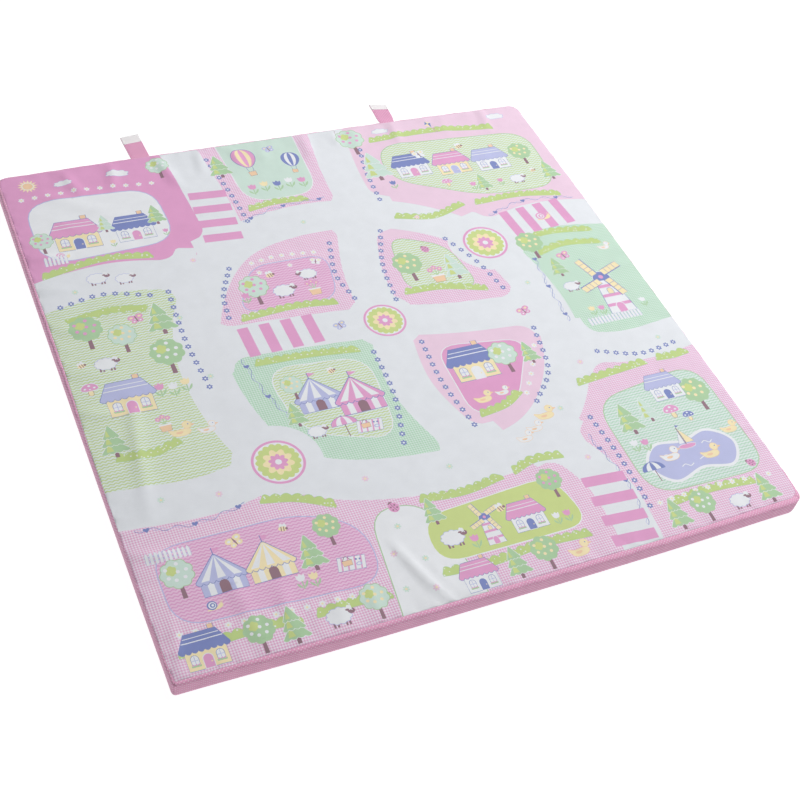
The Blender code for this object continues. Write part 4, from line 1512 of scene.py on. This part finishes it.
def foam_pad_points():
    """Rings round the mat: in from the middle of the underside, up inside the boxing, and over
    the crown to its middle. The wall rings are the boxing's profile moved in square to itself."""
    share = np.linspace(-1.0, 1.0, FOAM_AROUND, endpoint=False)
    wall = smooth_rows(WALL_PROFILE, FOAM_ROWS)[3:-2]
    floor_height = BASE_THICKNESS + FOAM_CLEARANCE
    loops = []
    for side in SIDES:
        seam = seam_inset(side, share)[:, None]
        inset = wall[:, 0] + wall[:, 1] * seam
        height = np.broadcast_to(wall[:, 2], inset.shape)
        slope = np.stack([np.gradient(inset, axis=1), np.gradient(height, axis=1)], axis=2)
        slope /= np.linalg.norm(slope, axis=2)[:, :, None]
        gap = BOXING_THICKNESS + FOAM_CLEARANCE
        inset = inset + slope[:, :, 1] * gap
        height = np.maximum(height - slope[:, :, 0] * gap, floor_height)
        x, y = wall_line(side, share[:, None], inset)
        wall_rings = np.stack([x, y, height], axis=2)
        low = [np.stack([x[:, 0] * s, y[:, 0] * s, 0 * x[:, 0] + floor_height], axis=1)
               for s in FOAM_RINGS[::-1]]
        high = [np.stack([x[:, -1] * s, y[:, -1] * s, level_top(x[:, -1] * s, y[:, -1] * s)
                          - PRINT_THICKNESS - FOAM_TOP_CLEARANCE], axis=1) for s in FOAM_RINGS]
        loops.append(np.concatenate([np.stack(low, axis=1), wall_rings, np.stack(high, axis=1)], axis=1))
    return np.concatenate(loops)


def closed_rings(name, grid):
    """A closed body from rings: quads between neighbours round and up, and a cap of triangles on
    each end ring."""
    around, rings_up = grid.shape[:2]
    number = np.arange(around * rings_up).reshape(around, rings_up)
    after = np.roll(number, -1, axis=0)
    quads = np.stack([number[:, :-1], after[:, :-1], after[:, 1:], number[:, 1:]], axis=2).reshape(-1, 4)
    triangles = np.concatenate([quads[:, (0, 1, 2)], quads[:, (0, 2, 3)]])
    low, high = around * rings_up, around * rings_up + 1
    caps = np.concatenate([
        np.stack([after[:, 0], number[:, 0], np.full(around, low)], axis=1),
        np.stack([number[:, -1], after[:, -1], np.full(around, high)], axis=1)])
    middles = np.array([grid[:, 0].mean(axis=0), grid[:, -1].mean(axis=0)])
    points = np.concatenate([grid.reshape(-1, 3), middles])
    return mesh_from(name, points, np.concatenate([triangles, caps]))


foam_pad = closed_rings("foam_pad", foam_pad_points())
material, tree, shader = cloth_material("pad foam", 0.95, 0.0)
place = object_place(tree)
pores = tree.nodes.new("ShaderNodeTexVoronoi")
pores.inputs["Scale"].default_value = FOAM_PORES
tree.links.new(place, pores.inputs["Vector"])
colour = blend_colours(tree, noise(tree, place, 25.0, 4.0), *FOAM_COLOURS)
tree.links.new(colour, shader.inputs["Base Color"])
surface_bump(tree, shader, pores.outputs["Distance"], 0.0004, 0.8)
foam_pad.data.materials.append(material)
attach(foam_pad, "root")
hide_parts("pad_body")


# The straps: two short lengths of the pin-dot cloth, folded double and stitched along their
# edges. They are sewn into the back wall, drop to the floor and lie on it.
STRAP_CLOTH = 0.0020
STRAP_UNDER_GAP = 0.0007         # from the strap's underside to the floor
STRAP_WALL_GAP = 0.0002
STRAP_ROLL = 0.0005              # how far the long edges roll down
STRAP_GRID = (57, 81)            # points across and along
STRAP_DROP = 0.0140
STRAP_FALL_LENGTH = 0.0340
STRAP_NARROW_LENGTH = 0.0500
STRAPS = (
    # name, tip's middle x, width, tip y, turn of the tip, lean at the wall, left edge drawn in
    # at the wall, right edge, length of the tape
    ("left", -0.2416, 0.0340, 0.6000, 0.115, 0.0042, 0.0005, 0.0000, 0.0205),
    ("right", 0.2471, 0.0326, 0.5920, -0.200, -0.0035, 0.0070, 0.0080, 0.0145),
)
STRAP_PINK = (222, 157, 191)
STRAP_PALE = (231, 187, 210)
STITCH_LENGTH = 0.0026
STITCH_GAP = 0.0009
STITCH_WIDTH = 0.00045
EDGE_STITCH_INSET = 0.0024
FURROW_DEPTH = 0.0002            # how far the stitches draw the cloth down, and how widely
FURROW_WIDTH = 0.0007
STITCH_RUN = (0.01, 0.77)        # from the wall to the tape, as shares of the strap
STITCH_LINE_POINTS = 120
STRAP_THREAD = (222, 158, 190)


def strap_face(strap, across, along):
    """A strap's upper face: level at the wall, an easy S down to the floor, then flat, with its
    long edges rolled down; across runs from -1 to 1 and along from 0 at the wall to 1 at the tip."""
    middle, width, tip, turn, lean, draw_left, draw_right = strap[1:8]
    straight = half_side(2, -middle)[1]
    root = HALF_DEPTH + swelling(SIDES[2], middle, straight) + STRAP_WALL_GAP
    end = tip + across * width / 2.0 * math.tan(turn)
    y = root + (end - root) * along
    fallen = np.minimum(1.0, (y - root) / STRAP_FALL_LENGTH)
    ease = fallen * fallen * (3.0 - 2.0 * fallen)
    near = 1.0 - np.minimum(1.0, (y - root) / STRAP_NARROW_LENGTH)
    drawn = draw_left * np.maximum(0.0, -across) - draw_right * np.maximum(0.0, across)
    x = middle + lean * (1.0 - along) + across * width / 2.0 + drawn * near * near * (3.0 - 2.0 * near)
    from_stitches = (1 - np.abs(across)) * width / 2.0 - EDGE_STITCH_INSET
    furrow = FURROW_DEPTH * np.exp(-from_stitches ** 2 / FURROW_WIDTH ** 2)
    height = STRAP_DROP * (1.0 - ease) + STRAP_CLOTH - STRAP_ROLL * np.abs(across) ** 10 - furrow
    return np.stack([x, y, height], axis=-1)


def tubes(number):
    """Four-sided faces of many tubes at once, from their points' numbers by tube, ring and corner."""
    after = np.roll(number, -1, axis=2)
    quads = np.stack([number[:, :-1], after[:, :-1], after[:, 1:], number[:, 1:]], axis=3)
    return quads.reshape(-1, 4)


def stitch_row(line, up):
    """Stitches along a line of points: at even steps a short thread, round in section and thinner
    to both ends by a sine, half sunk in the cloth. Gives points and four-sided faces."""
    far = running_length(line)
    count = max(1, int(far[-1] / (STITCH_LENGTH + STITCH_GAP)))
    middles = (np.arange(count) + 0.5) * far[-1] / count
    t = np.linspace(-0.5, 0.5, 7)
    spots = middles[:, None] + t * STITCH_LENGTH
    path = np.stack([np.interp(spots, far, line[:, axis]) for axis in range(3)], axis=2)
    way = path[:, -1] - path[:, 0]
    way /= np.linalg.norm(way, axis=1)[:, None]
    side = np.cross(up, way)
    angle = np.arange(6) * math.pi / 3.0
    girth = STITCH_WIDTH / 2.0 * (0.25 + 0.75 * np.cos(math.pi * t * 0.92))
    ring = (np.cos(angle)[:, None] * side[:, None, None] + np.sin(angle)[:, None] * np.array(up))
    points = path[:, :, None] + girth[:, None, None] * ring
    number = np.arange(points[..., 0].size).reshape(points.shape[:3])
    caps = np.concatenate([number[:, end][:, picks].reshape(-1, 4) for end, picks in
                           ((0, (3, 2, 1, 0)), (0, (0, 5, 4, 3)), (-1, (0, 1, 2, 3)), (-1, (3, 4, 5, 0)))])
    return points.reshape(-1, 3), np.concatenate([tubes(number), caps])


def sewn_lines(name, lines, colour):
    """One piece from several rows of stitches, in a plain spun thread."""
    rows = [stitch_row(line, (0.0, 0.0, 1.0)) for line in lines]
    shifts = np.cumsum([0] + [len(points) for points, _ in rows])
    piece = mesh_from(name, np.concatenate([points for points, _ in rows]),
                      np.concatenate([faces + shift for (_, faces), shift in zip(rows, shifts)]))
    material, tree, shader = cloth_material(f"{name} thread", 0.6, 0.1)
    plies = noise(tree, object_place(tree), 2600.0, 1.0)
    darker = tuple(0.86 * part for part in colour)
    tree.links.new(blend_colours(tree, plies, darker, colour), shader.inputs["Base Color"])
    surface_bump(tree, shader, plies, 0.0001, 0.6)
    piece.data.materials.append(material)
    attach(piece, "root")
    return piece


strap_cotton = pin_dot_cloth("strap cotton", STRAP_PINK, STRAP_PALE)
for strap in STRAPS:
    across, along = np.meshgrid(np.linspace(-1, 1, STRAP_GRID[0]), np.linspace(0, 1, STRAP_GRID[1]),
                                indexing="ij")
    face = strap_face(strap, across, along)
    length = float(running_length(face[STRAP_GRID[0] // 2])[-1])
    piece = thick_grid(f"strap_{strap[0]}_cloth", face, STRAP_CLOTH - STRAP_UNDER_GAP)
    piece.data.materials.append(strap_cotton)
    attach(piece, "root")
    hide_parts(f"strap_{strap[0]}")
    inset = 1.0 - EDGE_STITCH_INSET / (strap[2] / 2.0)
    run = np.linspace(*STITCH_RUN, STITCH_LINE_POINTS)
    lines = [strap_face(strap, np.full(len(run), edge), run) for edge in (-inset, inset)]
    thread = sewn_lines(f"strap_{strap[0]}_stitches", lines, STRAP_THREAD)


# The hook tapes: a strip of white woven tape across each strap's tip, with rows of fine moulded
# hooks standing on it, sewn down with a box of white stitches.
TAPE_BED = 0.0006
TAPE_LIFT = 0.0001               # between the tape and the strap below it
HOOK_PITCH = 0.0017
HOOK_HEIGHT = 0.0008
HOOK_WIDTH = 0.00022
HOOK_SUNK = 0.0001               # how far a hook's foot is set into the tape
HOOK_BOW = 0.36                  # radius of a hook's bend, as a share of its height
HOOK_BEND = 1.25 * math.pi
HOOK_RINGS = 8                   # along each hook: its foot, and the bend's points
HOOKED_SHARE = 0.97              # of the strap's width
TAPE_SHARE = 0.985               # of the strap's width
TAPE_FROM_TIP = 0.0003
TAPE_GRID = (35, 21)             # points across and along
TAPE_SELVEDGE = 0.0026           # bare woven edge outside the hooks
BOX_STITCH_INSET = 0.0012        # from the tape's long edges
BOX_STITCH_SHARE = 0.90          # of the tape's width
TAPE_WHITE = (252, 249, 250)
TAPE_THREAD = (236, 234, 234)


def tape_face(strap, across, from_tip, lift):
    """A point on the tape: the strap's own face near its tip, raised by lift. From_tip is metres
    back from the tip."""
    straight = half_side(2, -strap[1])[1]
    root = HALF_DEPTH + swelling(SIDES[2], strap[1], straight) + STRAP_WALL_GAP
    place = strap_face(strap, across * TAPE_SHARE, 1.0 - (from_tip + TAPE_FROM_TIP) / (strap[3] - root))
    place[..., 2] = STRAP_CLOTH + lift
    return place


def hooks(strap):
    """Rows of hooks: each a thin thread that rises and bends over by five eighths of a circle,
    the other way from its neighbours."""
    width = strap[2] * HOOKED_SHARE
    count = int((width - 2 * TAPE_SELVEDGE) / HOOK_PITCH)
    rows = int((strap[8] - 2 * TAPE_SELVEDGE) / HOOK_PITCH)
    across = (np.arange(count) - (count - 1) / 2.0) * HOOK_PITCH / (width / 2.0)
    back = TAPE_SELVEDGE + (np.arange(rows) + 0.5) * HOOK_PITCH
    grid_across, grid_back = np.meshgrid(across, back, indexing="ij")
    foot = tape_face(strap, grid_across, grid_back, TAPE_LIFT + TAPE_BED - HOOK_SUNK)
    lean = np.where((np.arange(rows) + np.arange(count)[:, None]) % 2 == 0, 1.0, -1.0)
    angle = np.linspace(0.0, HOOK_BEND, HOOK_RINGS - 1)
    bow = HOOK_HEIGHT * HOOK_BOW
    reach = np.concatenate([[0.0], bow * (1 - np.cos(angle))])
    rise = np.concatenate([[0.0], HOOK_HEIGHT - bow + bow * np.sin(angle)])
    turn = np.concatenate([[0.0], angle])
    girth = HOOK_WIDTH / 2.0 * np.linspace(1.0, 0.6, HOOK_RINGS)

    def upright(sideways, high):
        """Vectors in the plane that each hook bends in."""
        sideways = lean[:, :, None] * sideways
        return np.stack([sideways, 0.0 * sideways, np.broadcast_to(high, sideways.shape)], axis=3)

    path = upright(reach, rise) + foot[:, :, None]
    out = upright(np.cos(turn), np.sin(turn))
    side = lean[:, :, None, None] * np.array((0.0, 1.0, 0.0))
    corners = [path + girth[:, None] * corner for corner in (-out, -side, out, side)]
    points = np.stack(corners, axis=3).reshape(-1, 3)
    number = np.arange(len(points)).reshape(-1, HOOK_RINGS, len(corners))
    caps = np.concatenate([number[:, 0, ::-1], number[:, -1]])
    return mesh_from(f"hook_tape_{strap[0]}_hooks", points, np.concatenate([tubes(number), caps]))


def tape_material(name, rough, pitch):
    """White polyamide: a close weave with paler and greyer picks, and a soft shine."""
    material, tree, shader = cloth_material(name, rough, 0.0)
    shader.inputs["Specular IOR Level"].default_value = 0.4
    place = object_place(tree)
    x, y = two_axes(tree, place)
    threads = weave(tree, x, y, pitch)
    share = calc(tree, "MULTIPLY_ADD", threads, 0.3, noise(tree, place, 700.0, 2.0))
    greyer = tuple(0.97 * part for part in TAPE_WHITE)
    tree.links.new(blend_colours(tree, share, greyer, TAPE_WHITE), shader.inputs["Base Color"])
    surface_bump(tree, shader, threads, 0.0001, 0.7)
    return material


tape_cloth = tape_material("woven tape", 0.55, 0.0007)
hook_plastic = tape_material("tape hooks", 0.40, 0.0003)
for strap in STRAPS:
    across, back = np.meshgrid(np.linspace(-1, 1, TAPE_GRID[0]), np.linspace(strap[8], 0, TAPE_GRID[1]),
                               indexing="ij")
    face = tape_face(strap, across, back, TAPE_LIFT + TAPE_BED)
    tape = thick_grid(f"hook_tape_{strap[0]}_strip", face, TAPE_BED)
    tape.data.materials.append(tape_cloth)
    hook_field = hooks(strap)
    hook_field.data.materials.append(hook_plastic)
    near, far = BOX_STITCH_INSET, strap[8] - BOX_STITCH_INSET
    left, right = -BOX_STITCH_SHARE, BOX_STITCH_SHARE
    border = [(left, near), (right, near), (right, far), (left, far), (left, near)]
    lines = [tape_face(strap, *np.linspace(start, end, 12).T, TAPE_LIFT + TAPE_BED)
             for start, end in zip(border[:-1], border[1:])]
    thread = sewn_lines(f"hook_tape_{strap[0]}_stitches", lines, TAPE_THREAD)
    for piece in (tape, hook_field):
        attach(piece, "root")
    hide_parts(f"hook_tape_{strap[0]}")
